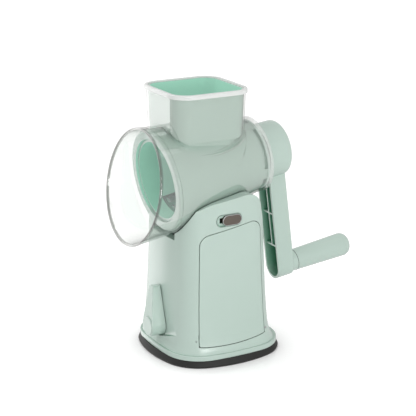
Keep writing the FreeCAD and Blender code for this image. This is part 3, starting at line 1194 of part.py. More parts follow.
# ------------------------------------------------------------------ all pieces
for make in (tower_shell, lever_bush, base_plate, base_screws, foot_ring, suction_cup, suction_stud,
             cam_shaft, shaft_clip, clamp_lever, lever_cap, storage_liner, storage_door, door_pins,
             slider_track, release_knob, latch_plate, clear_casing, inner_barrel, drum_sleeve, rear_plate,
             bearing_bush, plate_screws, rail_key, drum_body, crank_arm, drive_shaft, shaft_screw,
             hub_cover, grip_spindle, grip_sleeve, grip_cap):
    save(make(), make.__name__)
save(shred_plate(1), "shred_plate_upper")
save(shred_plate(-1), "shred_plate_lower")
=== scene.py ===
import json
import math

import bpy
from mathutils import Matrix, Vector


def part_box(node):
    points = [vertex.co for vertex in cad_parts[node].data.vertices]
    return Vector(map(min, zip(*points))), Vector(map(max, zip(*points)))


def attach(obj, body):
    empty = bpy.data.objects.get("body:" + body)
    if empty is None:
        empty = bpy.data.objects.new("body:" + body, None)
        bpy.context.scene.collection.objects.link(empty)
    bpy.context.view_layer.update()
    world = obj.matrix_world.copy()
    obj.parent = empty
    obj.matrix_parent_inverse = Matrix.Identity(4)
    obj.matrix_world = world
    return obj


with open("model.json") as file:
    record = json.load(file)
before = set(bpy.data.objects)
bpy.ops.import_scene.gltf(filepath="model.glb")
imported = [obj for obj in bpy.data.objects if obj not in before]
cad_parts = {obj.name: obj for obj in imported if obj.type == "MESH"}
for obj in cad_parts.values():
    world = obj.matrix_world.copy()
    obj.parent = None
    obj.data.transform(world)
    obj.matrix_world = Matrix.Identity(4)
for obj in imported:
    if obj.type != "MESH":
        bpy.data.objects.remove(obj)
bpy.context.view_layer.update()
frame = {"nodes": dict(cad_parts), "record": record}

# Looks of a rotary vegetable shredder on a suction stand. Metres, the CAD frame:
# +Z up, -Y towards the food mouth, +Y towards the crank, +X towards the door.
# Names that end in _MM or _A hold millimetres; _A values run along the drum axis,
# which leans with its mouth end low, from the mouth (negative) to the crank.

MM = 0.001
UP = Vector((0.0, 0.0, 1.0))
ACROSS = Vector((1.0, 0.0, 0.0))

AXIS_Z = 0.194
AXIS_TILT = math.radians(7.3)
AXIS_AT = Vector((0.0, 0.0, AXIS_Z))
AXIS_WAY = Vector((0.0, math.cos(AXIS_TILT), math.sin(AXIS_TILT)))
AXIS_UP = Vector((0.0, -math.sin(AXIS_TILT), math.cos(AXIS_TILT)))


def on_axis(along_mm):
    """Point along_mm along the drum axis."""
    return AXIS_AT + AXIS_WAY * (along_mm * MM)


# ---------------------------------------------------------------- colour and nodes
def linear(hex_colour):
    """sRGB hex to the renderer's linear colour, opaque."""
    values = [int(hex_colour[i:i + 2], 16) / 255 for i in (1, 3, 5)]
    return [v / 12.92 if v <= 0.04045 else ((v + 0.055) / 1.055) ** 2.4 for v in values] + [1.0]


def add_node(tree, kind, links=None, **settings):
    """New node: settings by property or socket name, links from other sockets."""
    node = tree.nodes.new(kind)
    for name, value in settings.items():
        if hasattr(node, name):
            setattr(node, name, value)
        else:
            node.inputs[name.replace("_", " ")].default_value = value
    for name, source in (links or {}).items():
        tree.links.new(source, node.inputs[name])
    return node


def fill(tree, socket, value):
    """Gives an input a number, a vector, an sRGB hex colour or another node's output."""
    if isinstance(value, bpy.types.NodeSocket):
        tree.links.new(value, socket)
    elif isinstance(value, str):
        socket.default_value = linear(value)
    else:
        socket.default_value = value


def new_material(name):
    """Empty material with its tree, its output node and the object's own coordinates."""
    material = bpy.data.materials.new(name)
    material.use_nodes = True
    tree = material.node_tree
    tree.nodes.clear()
    output = tree.nodes.new("ShaderNodeOutputMaterial")
    return material, tree, output, tree.nodes.new("ShaderNodeTexCoord").outputs["Object"]


def noise(tree, point, size_mm, detail):
    """Noise whose features are about size_mm across."""
    return add_node(tree, "ShaderNodeTexNoise", {"Vector": point}, Scale=1 / (size_mm * MM),
                    Detail=detail, Roughness=0.5).outputs["Fac"]


def remap(tree, value, low, high, start=0.0, end=1.0, smooth=False):
    """low where value is at start, high where it is at end, held beyond both."""
    return add_node(tree, "ShaderNodeMapRange", {"Value": value}, From_Min=start, From_Max=end,
                    To_Min=low, To_Max=high,
                    interpolation_type="SMOOTHSTEP" if smooth else "LINEAR").outputs["Result"]


def maths(tree, operation, a, b=0.0):
    """a and b are sockets or numbers."""
    node = tree.nodes.new("ShaderNodeMath")
    node.operation = operation
    fill(tree, node.inputs[0], a)
    fill(tree, node.inputs[1], b)
    return node.outputs["Value"]


def vector_maths(tree, operation, a, b, result="Vector"):
    """a and b are sockets or vectors."""
    node = tree.nodes.new("ShaderNodeVectorMath")
    node.operation = operation
    fill(tree, node.inputs[0], a)
    fill(tree, node.inputs[1], b)
    return node.outputs[result]


def blend_colours(tree, factor, a, b):
    """a where factor is 0, b where it is 1."""
    node = add_node(tree, "ShaderNodeMix", {"Factor": factor}, data_type="RGBA")
    fill(tree, node.inputs["A"], a)
    fill(tree, node.inputs["B"], b)
    return node.outputs["Result"]


def blend_shaders(tree, factor, a, b):
    """a where factor is 0, b where it is 1."""
    node = add_node(tree, "ShaderNodeMixShader", {"Fac": factor})
    tree.links.new(a, node.inputs[1])
    tree.links.new(b, node.inputs[2])
    return node.outputs["Shader"]


def bump(tree, height, strength, depth_mm, **links):
    return add_node(tree, "ShaderNodeBump", {"Height": height, **links}, Strength=strength,
                    Distance=depth_mm * MM).outputs["Normal"]


STEP_SOFT_MM = 0.15
# Masks for painted shade: faces that look towards an axis, and a piece's own hollows.
INWARD_FROM_TO = (-0.1, -0.35)      # cosine between a face and the way out from the axis
HOLLOW_REACH_MM = 30.0
HOLLOW_FROM_TO = (0.12, 0.9)


def behind_plane(tree, point, at, facing, depth_mm):
    """1 where a point lies less than depth_mm behind a plane, else 0, with a soft step."""
    offset = vector_maths(tree, "SUBTRACT", point, at)
    along = vector_maths(tree, "DOT_PRODUCT", offset, facing, "Value")
    return remap(tree, along, 0.0, 1.0, -(depth_mm + STEP_SOFT_MM) * MM, -(depth_mm - STEP_SOFT_MM) * MM,
                 smooth=True)


def looks_in(tree, point, at, way):
    """1 on faces that look towards an axis, 0 on those that look away from it."""
    offset = vector_maths(tree, "SUBTRACT", point, at)
    along = vector_maths(tree, "DOT_PRODUCT", offset, way, "Value")
    foot = add_node(tree, "ShaderNodeVectorMath", {"Scale": along}, operation="SCALE")
    foot.inputs[0].default_value = way
    outward = vector_maths(tree, "SUBTRACT", offset, foot.outputs["Vector"])
    unit = add_node(tree, "ShaderNodeVectorMath", {0: outward}, operation="NORMALIZE")
    normal = tree.nodes.new("ShaderNodeTexCoord").outputs["Normal"]
    facing = vector_maths(tree, "DOT_PRODUCT", unit.outputs["Vector"], normal, "Value")
    return remap(tree, facing, 0.0, 1.0, *INWARD_FROM_TO, smooth=True)


def openness(tree):
    """Mask for painted shade: 0 far inside a piece's own hollows, 1 on its open faces."""
    shade = add_node(tree, "ShaderNodeAmbientOcclusion", samples=8, only_local=True,
                     Distance=HOLLOW_REACH_MM * MM)
    return remap(tree, shade.outputs["AO"], 0.0, 1.0, *HOLLOW_FROM_TO, smooth=True)


# ---------------------------------------------------------------- materials
CLOUD_MM = 45.0             # flow clouding in moulded plastic
SINK_MM = 28.0              # sink waves on its faces
SINK_DEPTH_MM = 0.12
POLISH_MM = 6.0             # patches of a little more or less polish
POLISH_SPREAD = 0.15
EDGE_ROLL_MM = 0.5
COAT_ROUGHNESS = 0.08
# Colour of the painted glow inside the funnel and the drum
PAINTED_GLOW_COLOUR = "#d6fff4"


def moulded_plastic(name, colour, dark, roughness, painted_shade_colour="", axis=None, painted_glow=0.0, coat=0.0):
    """Injection-moulded ABS: faint flow clouding and soft sink waves, every hard edge rolled over.
    In hollows, or on the faces towards axis if it is given, the colour turns to a painted shade, as where
    walls light each other, and a painted glow, strongest there, stands in for light through the wall."""
    material, tree, output, point = new_material(name)
    base = blend_colours(tree, noise(tree, point, CLOUD_MM, 3.0), dark, colour)
    # Painted shade: the colour turns darker and greener in hollows, or on faces towards the axis
    if painted_shade_colour:
        unshaded_share = remap(tree, looks_in(tree, point, *axis), 1.0, 0.0) if axis else openness(tree)
        base = blend_colours(tree, unshaded_share, painted_shade_colour, base)
    rough = remap(tree, noise(tree, point, POLISH_MM, 3.0),
                  roughness * (1 - POLISH_SPREAD), roughness * (1 + POLISH_SPREAD))
    rolled = add_node(tree, "ShaderNodeBevel", samples=4, Radius=EDGE_ROLL_MM * MM).outputs["Normal"]
    shader = add_node(tree, "ShaderNodeBsdfPrincipled",
                      {"Base Color": base, "Roughness": rough,
                       "Normal": bump(tree, noise(tree, point, SINK_MM, 1.0), 0.25, SINK_DEPTH_MM,
                                      Normal=rolled)},
                      IOR=1.5, Coat_Weight=coat, Coat_Roughness=COAT_ROUGHNESS)
    # Painted glow: emission that stands in for light inside, strongest where the faces are shaded
    if painted_glow:
        shader.inputs["Emission Color"].default_value = linear(PAINTED_GLOW_COLOUR)
        tree.links.new(remap(tree, unshaded_share, painted_glow, 0.0), shader.inputs["Emission Strength"])
    tree.links.new(shader.outputs["BSDF"], output.inputs["Surface"])
    return material


MOUTH_TILT = math.radians(10.5)
MOUTH_AT = Vector((0.0, -85.2, 183.2)) * MM
MOUTH_WAY = Vector((0.0, -math.cos(MOUTH_TILT), math.sin(MOUTH_TILT)))
MOUTH_BEAD_MM = 1.6
COLLAR_AT = on_axis(56.0)
COLLAR_MM = 6.0
COLLAR_CLOUDY = 0.22
HOPPER_TOP_AT = Vector((0.0, 0.0, 280.0)) * MM
HOPPER_RIM_MM = 4.6
HOPPER_RIM_CLOUDY = 0.75
SLANT_POWER = 4.0           # how late a wall darkens as it turns away from the eye
EDGE_ON_GLOSS = 0.8         # share of mirror where a wall is seen edge on
WAVE_MM = 22.0
WAVE_DEPTH_MM = 0.1


def clear_plastic(name, tint, edge_tint, dense_tint, cloudy_tint, gloss_share):
    """Clear moulded styrene: nearly colourless walls, greyer where they are seen edge on, with a bright
    gloss on their outer sides. Its thick parts hold more light: the mouth's bead is denser, and the
    hopper's rim and the collar by the crank are cloudier."""
    material, tree, output, point = new_material(name)
    facing = add_node(tree, "ShaderNodeLayerWeight", Blend=0.5).outputs["Facing"]
    slant = maths(tree, "POWER", facing, SLANT_POWER)
    colour = blend_colours(tree, slant, tint, edge_tint)
    bead_share = behind_plane(tree, point, MOUTH_AT, MOUTH_WAY, MOUTH_BEAD_MM)
    colour = blend_colours(tree, bead_share, colour, dense_tint)
    clear = add_node(tree, "ShaderNodeBsdfTransparent", {"Color": colour})
    gloss = add_node(tree, "ShaderNodeBsdfPrincipled",
                     {"Normal": bump(tree, noise(tree, point, WAVE_MM, 1.0), 0.2, WAVE_DEPTH_MM)},
                     Roughness=0.05, Metallic=1.0)
    gloss.inputs["Base Color"].default_value = linear("#ffffff")
    inner_side = tree.nodes.new("ShaderNodeNewGeometry").outputs["Backfacing"]
    share = maths(tree, "MULTIPLY", remap(tree, slant, gloss_share, EDGE_ON_GLOSS),
                  remap(tree, inner_side, 1.0, 0.0))
    wall = blend_shaders(tree, share, clear.outputs["BSDF"], gloss.outputs["BSDF"])
    collar = maths(tree, "MULTIPLY", behind_plane(tree, point, COLLAR_AT, AXIS_WAY, COLLAR_MM),
                   COLLAR_CLOUDY)
    rim = remap(tree, behind_plane(tree, point, HOPPER_TOP_AT, UP, HOPPER_RIM_MM), 0.0, HOPPER_RIM_CLOUDY)
    cloudy = add_node(tree, "ShaderNodeBsdfPrincipled", Roughness=0.15)
    cloudy.inputs["Base Color"].default_value = linear(cloudy_tint)
    whole = blend_shaders(tree, maths(tree, "MAXIMUM", rim, collar), wall, cloudy.outputs["BSDF"])
    tree.links.new(whole, output.inputs["Surface"])
    return material


STREAK_STRETCH = (1.0, 0.05, 1.0)
STREAK_DEPTH_MM = 0.01
STREAK_SPREAD = 0.3


def brushed_metal(name, colour, roughness, streak_mm):
    """Turned or rolled steel: fine streaks along one direction."""
    material, tree, output, point = new_material(name)
    stretch = add_node(tree, "ShaderNodeMapping", {"Vector": point}, Scale=STREAK_STRETCH)
    streaks = noise(tree, stretch.outputs["Vector"], streak_mm, 4.0)
    rough = remap(tree, streaks, roughness * (1 - STREAK_SPREAD), roughness * (1 + STREAK_SPREAD))
    shader = add_node(tree, "ShaderNodeBsdfPrincipled",
                      {"Roughness": rough, "Normal": bump(tree, streaks, 0.15, STREAK_DEPTH_MM)},
                      Metallic=1.0)
    shader.inputs["Base Color"].default_value = linear(colour)
    tree.links.new(shader.outputs["BSDF"], output.inputs["Surface"])
    return material


DUST_MM = 9.0
SPARK_MM = 0.5
SPARK_DEPTH_MM = 0.05


def moulded_rubber(name, colour, dusty):
    """Black rubber: matt, fine spark texture and dusty lighter patches."""
    material, tree, output, point = new_material(name)
    shader = add_node(tree, "ShaderNodeBsdfPrincipled",
                      {"Base Color": blend_colours(tree, noise(tree, point, DUST_MM, 4.0), colour, dusty),
                       "Normal": bump(tree, noise(tree, point, SPARK_MM, 2.0), 0.5, SPARK_DEPTH_MM)},
                      Roughness=0.6)
    tree.links.new(shader.outputs["BSDF"], output.inputs["Surface"])
    return material


MINT = {"colour": "#bdd0c7", "dark": "#b8ccc2", "roughness": 0.24, "coat": 0.3}
# Painted shade colours: a dark green for hollows, a paler deep green for faces inside the funnel and drum
MINT_PAINTED_HOLLOW_SHADE = "#5aa685"
MINT_PAINTED_INNER_SHADE = "#8fc4ad"
HOPPER_AXIS = ((0.0, -14.0 * MM, 0.0), UP)
DRUM_AXIS = (AXIS_AT, AXIS_WAY)

# Mint plastic with painted shade in its own hollows
GREEN = moulded_plastic("moulded_abs_mint", **MINT, painted_shade_colour=MINT_PAINTED_HOLLOW_SHADE)
# Copies of the mint plastic whose inner faces carry painted shade and a painted glow
GREEN_FUNNEL_PAINTED_LIGHT = moulded_plastic("moulded_abs_mint_funnel_painted_shade_and_glow", **MINT, painted_shade_colour=MINT_PAINTED_INNER_SHADE, axis=HOPPER_AXIS,
                               painted_glow=0.21)
GREEN_TUBE_PAINTED_LIGHT = moulded_plastic("moulded_abs_mint_tube_painted_shade_and_glow", **MINT, painted_shade_colour=MINT_PAINTED_INNER_SHADE, axis=DRUM_AXIS,
                             painted_glow=0.14)
GREEN_DARK = moulded_plastic("moulded_nylon_dark_green", "#1f2b26", "#1a2521", 0.4)
GREY = moulded_plastic("moulded_abs_grey_brown", "#5e554c", "#584f47", 0.3, coat=0.4)
CLEAR = clear_plastic("moulded_styrene_clear", "#fdfefd", "#b2b5b2", "#bcbebb", "#eef1ef", 0.2)
STEEL = brushed_metal("turned_steel", "#c4c6c6", 0.3, 0.4)
BLADE = brushed_metal("rolled_stainless_sheet", "#b9bcbc", 0.25, 0.6)
RUBBER = moulded_rubber("moulded_rubber_black", "#131412", "#1e1f1d")

SLOT_MATERIALS = {"green_plastic": GREEN, "clear_plastic": CLEAR, "dark_plastic": GREEN_DARK,
                  "grey_plastic": GREY, "rubber": RUBBER, "steel": STEEL, "blade_steel": BLADE}
# Funnel and drum pieces that take the copies with painted shade and painted glow
PAINTED_LIGHT_NODES = {"inner_barrel": GREEN_FUNNEL_PAINTED_LIGHT, "drum_sleeve": GREEN_TUBE_PAINTED_LIGHT, "drum_body": GREEN_TUBE_PAINTED_LIGHT,
               "rear_plate": GREEN_TUBE_PAINTED_LIGHT}


def dress_nodes():
    """Each CAD node gets its slot's material, or, if it is a thin-walled funnel or drum piece, a mint copy
    with painted inner shade and painted glow.
    """
    slots = {part["node"]: part["material_slot"] for part in frame["record"]["subparts"]}
    for name, node in frame["nodes"].items():
        node.data.materials.clear()
        node.data.materials.append(PAINTED_LIGHT_NODES.get(name, SLOT_MATERIALS[slots[name]]))


dress_nodes()


# ---------------------------------------------------------------- fine pieces
BEAD_SIDES = 10
KNOB_RIM_MM = 0.42          # bead's own radius
KNOB_RIM_IN_MM = 0.46       # its centre, in from the knob's face and side
KNOB_RIM_STEPS = 24         # along each rounded end

CRANK_RADIUS_MM = 132.0
GRIP_FROM_A, GRIP_TO_A = 84.4, 152.0
GRIP_FROM_R, GRIP_TO_R = 11.4, 12.7
GRIP_SEAM_A = 91.0
GRIP_SEAM_MM = 0.3
GRIP_SEAM_SUNK_MM = 0.12
GRIP_SEAM_STEPS = 64

SLOT_ROWS = 7
SLOTS_PER_ROW = 5
PLATE_FROM_A, PLATE_TO_A = -44.0, 34.0
PLATE_STEP_A = (PLATE_TO_A - PLATE_FROM_A) / SLOT_ROWS
PLATE_TURN = math.radians(86.0)
TUBE_FROM_A, TUBE_TO_A = -61.0, 48.0
TUBE_FROM_R, TUBE_TO_R = 43.4, 31.5
PLATE_BELOW_TUBE_MM = 1.1
PLATE_SLOPE = (TUBE_TO_R - TUBE_FROM_R) / (TUBE_TO_A - TUBE_FROM_A)
PLATE_R_AT_0 = TUBE_FROM_R - TUBE_FROM_A * PLATE_SLOPE - PLATE_BELOW_TUBE_MM

TOOTH_LONG_MM = 6.6
TOOTH_WIDE_MM = 2.0
TOOTH_HIGH_MM = 0.8
TOOTH_THICK_MM = 0.3
TOOTH_ROOT_MM = 0.05
TOOTH_EDGE_MM = 0.4         # cutting edge, from the slot's middle
TOOTH_LEAN_MM = 0.5         # how far the arch's top hangs over the slot
TOOTH_SPREAD_MM = 0.6       # how much wider its ends are
TOOTH_CURVE = 0.8
TOOTH_ACROSS, TOOTH_ALONG = 10, 4


def smooth_faces(mesh):
    mesh.polygons.foreach_set("use_smooth", [True] * len(mesh.polygons))


def finished(name, vertices, faces, material, body, slot):
    """A piece of its own: smooth faces, one material, riding on a body."""
    mesh = bpy.data.meshes.new(name)
    mesh.from_pydata(vertices, [], faces)
    smooth_faces(mesh)
    mesh.materials.append(material)
    piece = bpy.data.objects.new(name, mesh)
    bpy.context.collection.objects.link(piece)
    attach(piece, body)


def bead(centres, outwards, upright, radius_mm):
    """Round bead along a closed path in a plane. outwards: unit vectors away from the path's inside."""
    vertices = []
    for centre, outward in zip(centres, outwards):
        for k in range(BEAD_SIDES):
            turn = math.tau * k / BEAD_SIDES
            vertices.append(centre + (outward * math.cos(turn) + upright * math.sin(turn)) * (radius_mm * MM))
    faces = []
    for i in range(len(centres)):
        j = (i + 1) % len(centres)
        for k in range(BEAD_SIDES):
            m = (k + 1) % BEAD_SIDES
            faces.append((i * BEAD_SIDES + k, i * BEAD_SIDES + m, j * BEAD_SIDES + m, j * BEAD_SIDES + k))
    return vertices, faces


def knob_rim():
    """Bright bead round the face of the release knob, half sunk in its rounded edge."""
    low, high = (Vector(corner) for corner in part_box("release_knob"))
    middle = (low + high) / 2
    end_radius = (high.z - low.z) / 2
    half_straight = (high.y - low.y) / 2 - end_radius
    rim_in = KNOB_RIM_IN_MM * MM
    centres, outwards = [], []
    for end in (1, -1):
        end_at = Vector((high.x - rim_in, middle.y + end * half_straight, middle.z))
        for k in range(KNOB_RIM_STEPS + 1):
            turn = math.pi * k / KNOB_RIM_STEPS - end * math.pi / 2
            outwards.append(Vector((0.0, math.cos(turn), math.sin(turn))))
            centres.append(end_at + outwards[-1] * (end_radius - rim_in))
    finished("knob_rim", *bead(centres, outwards, ACROSS, KNOB_RIM_MM), STEEL, "release_slider", "steel")


def grip_seam():
    """Dark joint line round the grip, where its collar meets the sleeve."""
    share = (GRIP_SEAM_A - GRIP_FROM_A) / (GRIP_TO_A - GRIP_FROM_A)
    radius = (GRIP_FROM_R + (GRIP_TO_R - GRIP_FROM_R) * share - GRIP_SEAM_SUNK_MM) * MM
    middle = on_axis(GRIP_SEAM_A) - AXIS_UP * (CRANK_RADIUS_MM * MM)
    turns = [math.tau * k / GRIP_SEAM_STEPS for k in range(GRIP_SEAM_STEPS)]
    outwards = [ACROSS * math.sin(turn) + AXIS_UP * math.cos(turn) for turn in turns]
    centres = [middle + outward * radius for outward in outwards]
    finished("grip_seam", *bead(centres, outwards, AXIS_WAY, GRIP_SEAM_MM), GREEN_DARK, "grip",
             "dark_plastic")


def tooth_form():
    """One raised grating lip, lying on z 0: arched across, highest at its cutting edge over the slot."""
    vertices, faces = [], []
    for layer in (0, 1):
        for i in range(TOOTH_ACROSS + 1):
            x = TOOTH_LONG_MM * (i / TOOTH_ACROSS - 0.5)
            arch = math.cos(math.pi * (i / TOOTH_ACROSS - 0.5))
            for j in range(TOOTH_ALONG + 1):
                out = j / TOOTH_ALONG
                height = TOOTH_HIGH_MM * arch * (1.0 - out) ** TOOTH_CURVE - TOOTH_ROOT_MM
                y = (TOOTH_EDGE_MM + (TOOTH_WIDE_MM + TOOTH_SPREAD_MM * (1.0 - arch)) * out
                     - TOOTH_LEAN_MM * arch * (1.0 - out))
                vertices.append((x * MM, y * MM, (height - layer * TOOTH_THICK_MM) * MM))

    def at(layer, i, j):
        return (layer * (TOOTH_ACROSS + 1) + i) * (TOOTH_ALONG + 1) + j

    for i in range(TOOTH_ACROSS):
        for j in range(TOOTH_ALONG):
            faces.append((at(0, i, j), at(0, i + 1, j), at(0, i + 1, j + 1), at(0, i, j + 1)))
            faces.append((at(1, i, j), at(1, i, j + 1), at(1, i + 1, j + 1), at(1, i + 1, j)))
        faces.append((at(0, i, 0), at(1, i, 0), at(1, i + 1, 0), at(0, i + 1, 0)))
        faces.append((at(0, i, TOOTH_ALONG), at(0, i + 1, TOOTH_ALONG), at(1, i + 1, TOOTH_ALONG),
                      at(1, i, TOOTH_ALONG)))
    for j in range(TOOTH_ALONG):
        faces.append((at(0, 0, j), at(0, 0, j + 1), at(1, 0, j + 1), at(1, 0, j)))
        faces.append((at(0, TOOTH_ACROSS, j), at(1, TOOTH_ACROSS, j), at(1, TOOTH_ACROSS, j + 1),
                      at(0, TOOTH_ACROSS, j + 1)))
    mesh = bpy.data.meshes.new("tooth_form")
    mesh.from_pydata(vertices, [], faces)
    return bpy.data.objects.new("tooth_form", mesh)


def teeth_tree():
    """Rows of teeth on a cone about +Y, then leant with the drum."""
    tree = bpy.data.node_groups.new("grater_teeth", "GeometryNodeTree")
    tree.is_modifier = True
    face = tree.interface
    face.new_socket("Geometry", in_out="INPUT", socket_type="NodeSocketGeometry")
    face.new_socket("Geometry", in_out="OUTPUT", socket_type="NodeSocketGeometry")
    for name, kind in (("Tooth", "Object"), ("Material", "Material"), ("Rows", "Int"),
                       ("Teeth Per Row", "Int"), ("First Row", "Float"), ("Row Step", "Float"),
                       ("Turn Step", "Float"), ("Middle Turn", "Float"), ("Radius At 0", "Float"),
                       ("Radius Slope", "Float"), ("Axis Lean", "Float"), ("Axis Height", "Float")):
        face.new_socket(name, in_out="INPUT", socket_type="NodeSocket" + kind)
    given = tree.nodes.new("NodeGroupInput").outputs
    result = tree.nodes.new("NodeGroupOutput")

    index = tree.nodes.new("GeometryNodeInputIndex").outputs["Index"]
    row = maths(tree, "FLOOR", maths(tree, "DIVIDE", index, given["Teeth Per Row"]))
    place = maths(tree, "SUBTRACT", index, maths(tree, "MULTIPLY", row, given["Teeth Per Row"]))
    last_place = maths(tree, "SUBTRACT", given["Teeth Per Row"], 1)
    centred = maths(tree, "SUBTRACT", place, maths(tree, "DIVIDE", last_place, 2))
    turn = maths(tree, "ADD", maths(tree, "MULTIPLY", centred, given["Turn Step"]), given["Middle Turn"])
    along = maths(tree, "ADD", maths(tree, "MULTIPLY", row, given["Row Step"]), given["First Row"])
    radius = maths(tree, "ADD", maths(tree, "MULTIPLY", along, given["Radius Slope"]), given["Radius At 0"])
    where = add_node(tree, "ShaderNodeCombineXYZ",
                     {"X": maths(tree, "MULTIPLY", maths(tree, "SINE", turn), radius), "Y": along,
                      "Z": maths(tree, "MULTIPLY", maths(tree, "COSINE", turn), radius)})
    turned = add_node(tree, "ShaderNodeCombineXYZ",
                      {"X": maths(tree, "ARCTANGENT", given["Radius Slope"]), "Y": turn})

    spots = add_node(tree, "GeometryNodePoints",
                     {"Count": maths(tree, "MULTIPLY", given["Rows"], given["Teeth Per Row"]),
                      "Position": where.outputs["Vector"]})
    form = add_node(tree, "GeometryNodeObjectInfo", {"Object": given["Tooth"]})
    stood = add_node(tree, "GeometryNodeInstanceOnPoints",
                     {"Points": spots.outputs["Points"], "Instance": form.outputs["Geometry"],
                      "Rotation": turned.outputs["Vector"]})
    solid = add_node(tree, "GeometryNodeRealizeInstances", {"Geometry": stood.outputs["Instances"]})
    lean = add_node(tree, "ShaderNodeCombineXYZ", {"X": given["Axis Lean"]})
    lift = add_node(tree, "ShaderNodeCombineXYZ", {"Z": given["Axis Height"]})
    placed = add_node(tree, "GeometryNodeTransform",
                      {"Geometry": solid.outputs["Geometry"], "Rotation": lean.outputs["Vector"],
                       "Translation": lift.outputs["Vector"]})
    painted = add_node(tree, "GeometryNodeSetMaterial",
                       {"Geometry": placed.outputs["Geometry"], "Material": given["Material"]})
    tree.links.new(painted.outputs["Geometry"], result.inputs["Geometry"])
    return tree


def grater_teeth(name, tree, tooth, middle_turn):
    """Teeth over one shred plate, as a plain mesh."""
    carrier = bpy.data.objects.new(name, bpy.data.meshes.new(name))
    bpy.context.collection.objects.link(carrier)
    modifier = carrier.modifiers.new("teeth", "NODES")
    modifier.node_group = tree
    values = {"Tooth": tooth, "Material": BLADE, "Rows": SLOT_ROWS, "Teeth Per Row": SLOTS_PER_ROW,
              "First Row": (PLATE_FROM_A + PLATE_STEP_A / 2) * MM, "Row Step": PLATE_STEP_A * MM,
              "Turn Step": PLATE_TURN / SLOTS_PER_ROW, "Middle Turn": middle_turn,
              "Radius At 0": PLATE_R_AT_0 * MM, "Radius Slope": PLATE_SLOPE,
              "Axis Lean": AXIS_TILT, "Axis Height": AXIS_Z}
    for item in tree.interface.items_tree:
        if item.in_out == "INPUT" and item.name in values:
            modifier[item.identifier] = values[item.name]
    carrier.update_tag()
    bpy.context.view_layer.update()
    mesh = bpy.data.meshes.new_from_object(carrier.evaluated_get(bpy.context.evaluated_depsgraph_get()))
    carrier.modifiers.remove(modifier)
    carrier.data = mesh
    smooth_faces(mesh)
    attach(carrier, "crank")


knob_rim()
grip_seam()
TOOTH = tooth_form()
TEETH_TREE = teeth_tree()
grater_teeth("grater_teeth_upper", TEETH_TREE, TOOTH, 0.0)
grater_teeth("grater_teeth_lower", TEETH_TREE, TOOTH, math.pi)
bpy.data.objects.remove(TOOTH)


# ---------------------------------------------------------------- camera and light
CAMERA_AT = Vector((1165.3, -643.1, 548.8)) * MM
CAMERA_TO = Vector((0.16, 0.33, 149.06)) * MM
LENS = 115.48
SENSOR = 36.0

FLOOR_HALF = 6.0
FLOOR_POLISH_MM = 80.0
FLOOR_ROUGHNESS = (0.10, 0.14)
FLOOR_LIFT = 0.4            # light added to the sheet, so that it shows white away from the foot
FLOOR_SHADE_MM = 60.0
FLOOR_SHADE_FROM = 0.3

ROOM_LIGHT = 0.72
CARD_LIGHT = 2.0
CARD_EDGE = -151.0          # bearing of the card's edge, degrees from +X
CARD_SOFT = 4.0

LIGHTS = (                  # name, place, aim, width, height, watts
    ("left_fill", (-0.9, -1.3, 1.2), (0.0, 0.0, 0.12), 0.9, 0.9, 4.4),
    ("top", (0.2, 0.1, 1.8), (0.0, 0.0, 0.1), 1.4, 1.4, 1.2),
    ("right_low", (1.5, -0.1, 0.3), (0.0, 0.0, 0.0), 1.0, 0.4, 7.8),
)


def aim(item, at, to):
    """Places a camera or light at one point, looking at another."""
    item.location = Vector(at)
    item.rotation_euler = (Vector(to) - Vector(at)).to_track_quat("-Z", "Y").to_euler()


def set_camera():
    data = bpy.data.cameras.new("camera")
    data.lens = LENS
    data.sensor_width = SENSOR
    data.clip_end = 20.0
    camera = bpy.data.objects.new("camera", data)
    bpy.context.collection.objects.link(camera)
    aim(camera, CAMERA_AT, CAMERA_TO)
    bpy.context.scene.camera = camera
    bpy.context.scene.view_settings.view_transform = "Standard"


def area_light(name, at, to, width, height, power):
    data = bpy.data.lights.new(name, "AREA")
    data.shape = "RECTANGLE"
    data.size = width
    data.size_y = height
    data.energy = power
    light = bpy.data.objects.new(name, data)
    bpy.context.collection.objects.link(light)
    aim(light, at, to)


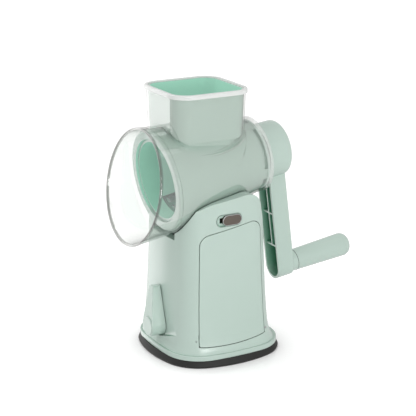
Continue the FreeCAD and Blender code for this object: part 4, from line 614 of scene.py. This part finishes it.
def set_floor():
    """White studio sheet: white to the camera, with a soft shadow near the foot, partly cast by the lamps and
    partly painted where the light added for the camera fades. Glossy faces don't mirror it."""
    mesh = bpy.data.meshes.new("floor")
    corners = [(x * FLOOR_HALF, y * FLOOR_HALF, 0) for x, y in ((-1, -1), (1, -1), (1, 1), (-1, 1))]
    mesh.from_pydata(corners, [], [(0, 1, 2, 3)])
    floor = bpy.data.objects.new("floor", mesh)
    bpy.context.collection.objects.link(floor)
    material, tree, output, point = new_material("white_acrylic_sheet")
    rough = remap(tree, noise(tree, point, FLOOR_POLISH_MM, 2.0), *FLOOR_ROUGHNESS)
    sheet = add_node(tree, "ShaderNodeBsdfPrincipled", {"Roughness": rough}, IOR=1.4)
    sheet.inputs["Base Color"].default_value = linear("#f2f2f2")
    # Painted shadow: the light added to the sheet for the camera fades near the foot
    near = add_node(tree, "ShaderNodeAmbientOcclusion", samples=8, Distance=FLOOR_SHADE_MM * MM)
    lift = remap(tree, near.outputs["AO"], 0.0, FLOOR_LIFT, FLOOR_SHADE_FROM)
    glow = add_node(tree, "ShaderNodeEmission", {"Strength": lift})
    unseen = add_node(tree, "ShaderNodeEmission", Strength=0.0)
    ray = tree.nodes.new("ShaderNodeLightPath").outputs
    seen = blend_shaders(tree, ray["Is Camera Ray"], unseen.outputs["Emission"], glow.outputs["Emission"])
    both = tree.nodes.new("ShaderNodeAddShader")
    tree.links.new(sheet.outputs["BSDF"], both.inputs[0])
    tree.links.new(seen, both.inputs[1])
    clear = tree.nodes.new("ShaderNodeBsdfTransparent")
    gate = blend_shaders(tree, ray["Is Glossy Ray"], both.outputs["Shader"], clear.outputs["BSDF"])
    tree.links.new(gate, output.inputs["Surface"])
    mesh.materials.append(material)


def set_world():
    """White studio: white to the camera, with one tall bright card that smooth faces mirror."""
    world = bpy.data.worlds.new("studio")
    bpy.context.scene.world = world
    world.use_nodes = True
    tree = world.node_tree
    tree.nodes.clear()
    output = tree.nodes.new("ShaderNodeOutputWorld")
    seen = add_node(tree, "ShaderNodeBackground", Strength=1.0)
    seen.inputs["Color"].default_value = linear("#ffffff")
    way = tree.nodes.new("ShaderNodeTexCoord").outputs["Generated"]
    split = add_node(tree, "ShaderNodeSeparateXYZ", {"Vector": way})
    bearing = maths(tree, "ARCTAN2", split.outputs["Y"], split.outputs["X"])
    card = remap(tree, bearing, ROOM_LIGHT, CARD_LIGHT,
                 math.radians(CARD_EDGE + CARD_SOFT), math.radians(CARD_EDGE))
    lit = add_node(tree, "ShaderNodeBackground", {"Strength": card})
    lit.inputs["Color"].default_value = linear("#fcfbfb")
    ray = tree.nodes.new("ShaderNodeLightPath").outputs
    mixed = blend_shaders(tree, ray["Is Camera Ray"], lit.outputs["Background"], seen.outputs["Background"])
    tree.links.new(mixed, output.inputs["Surface"])


set_camera()
set_floor()
set_world()
for light in LIGHTS:
    area_light(*light)
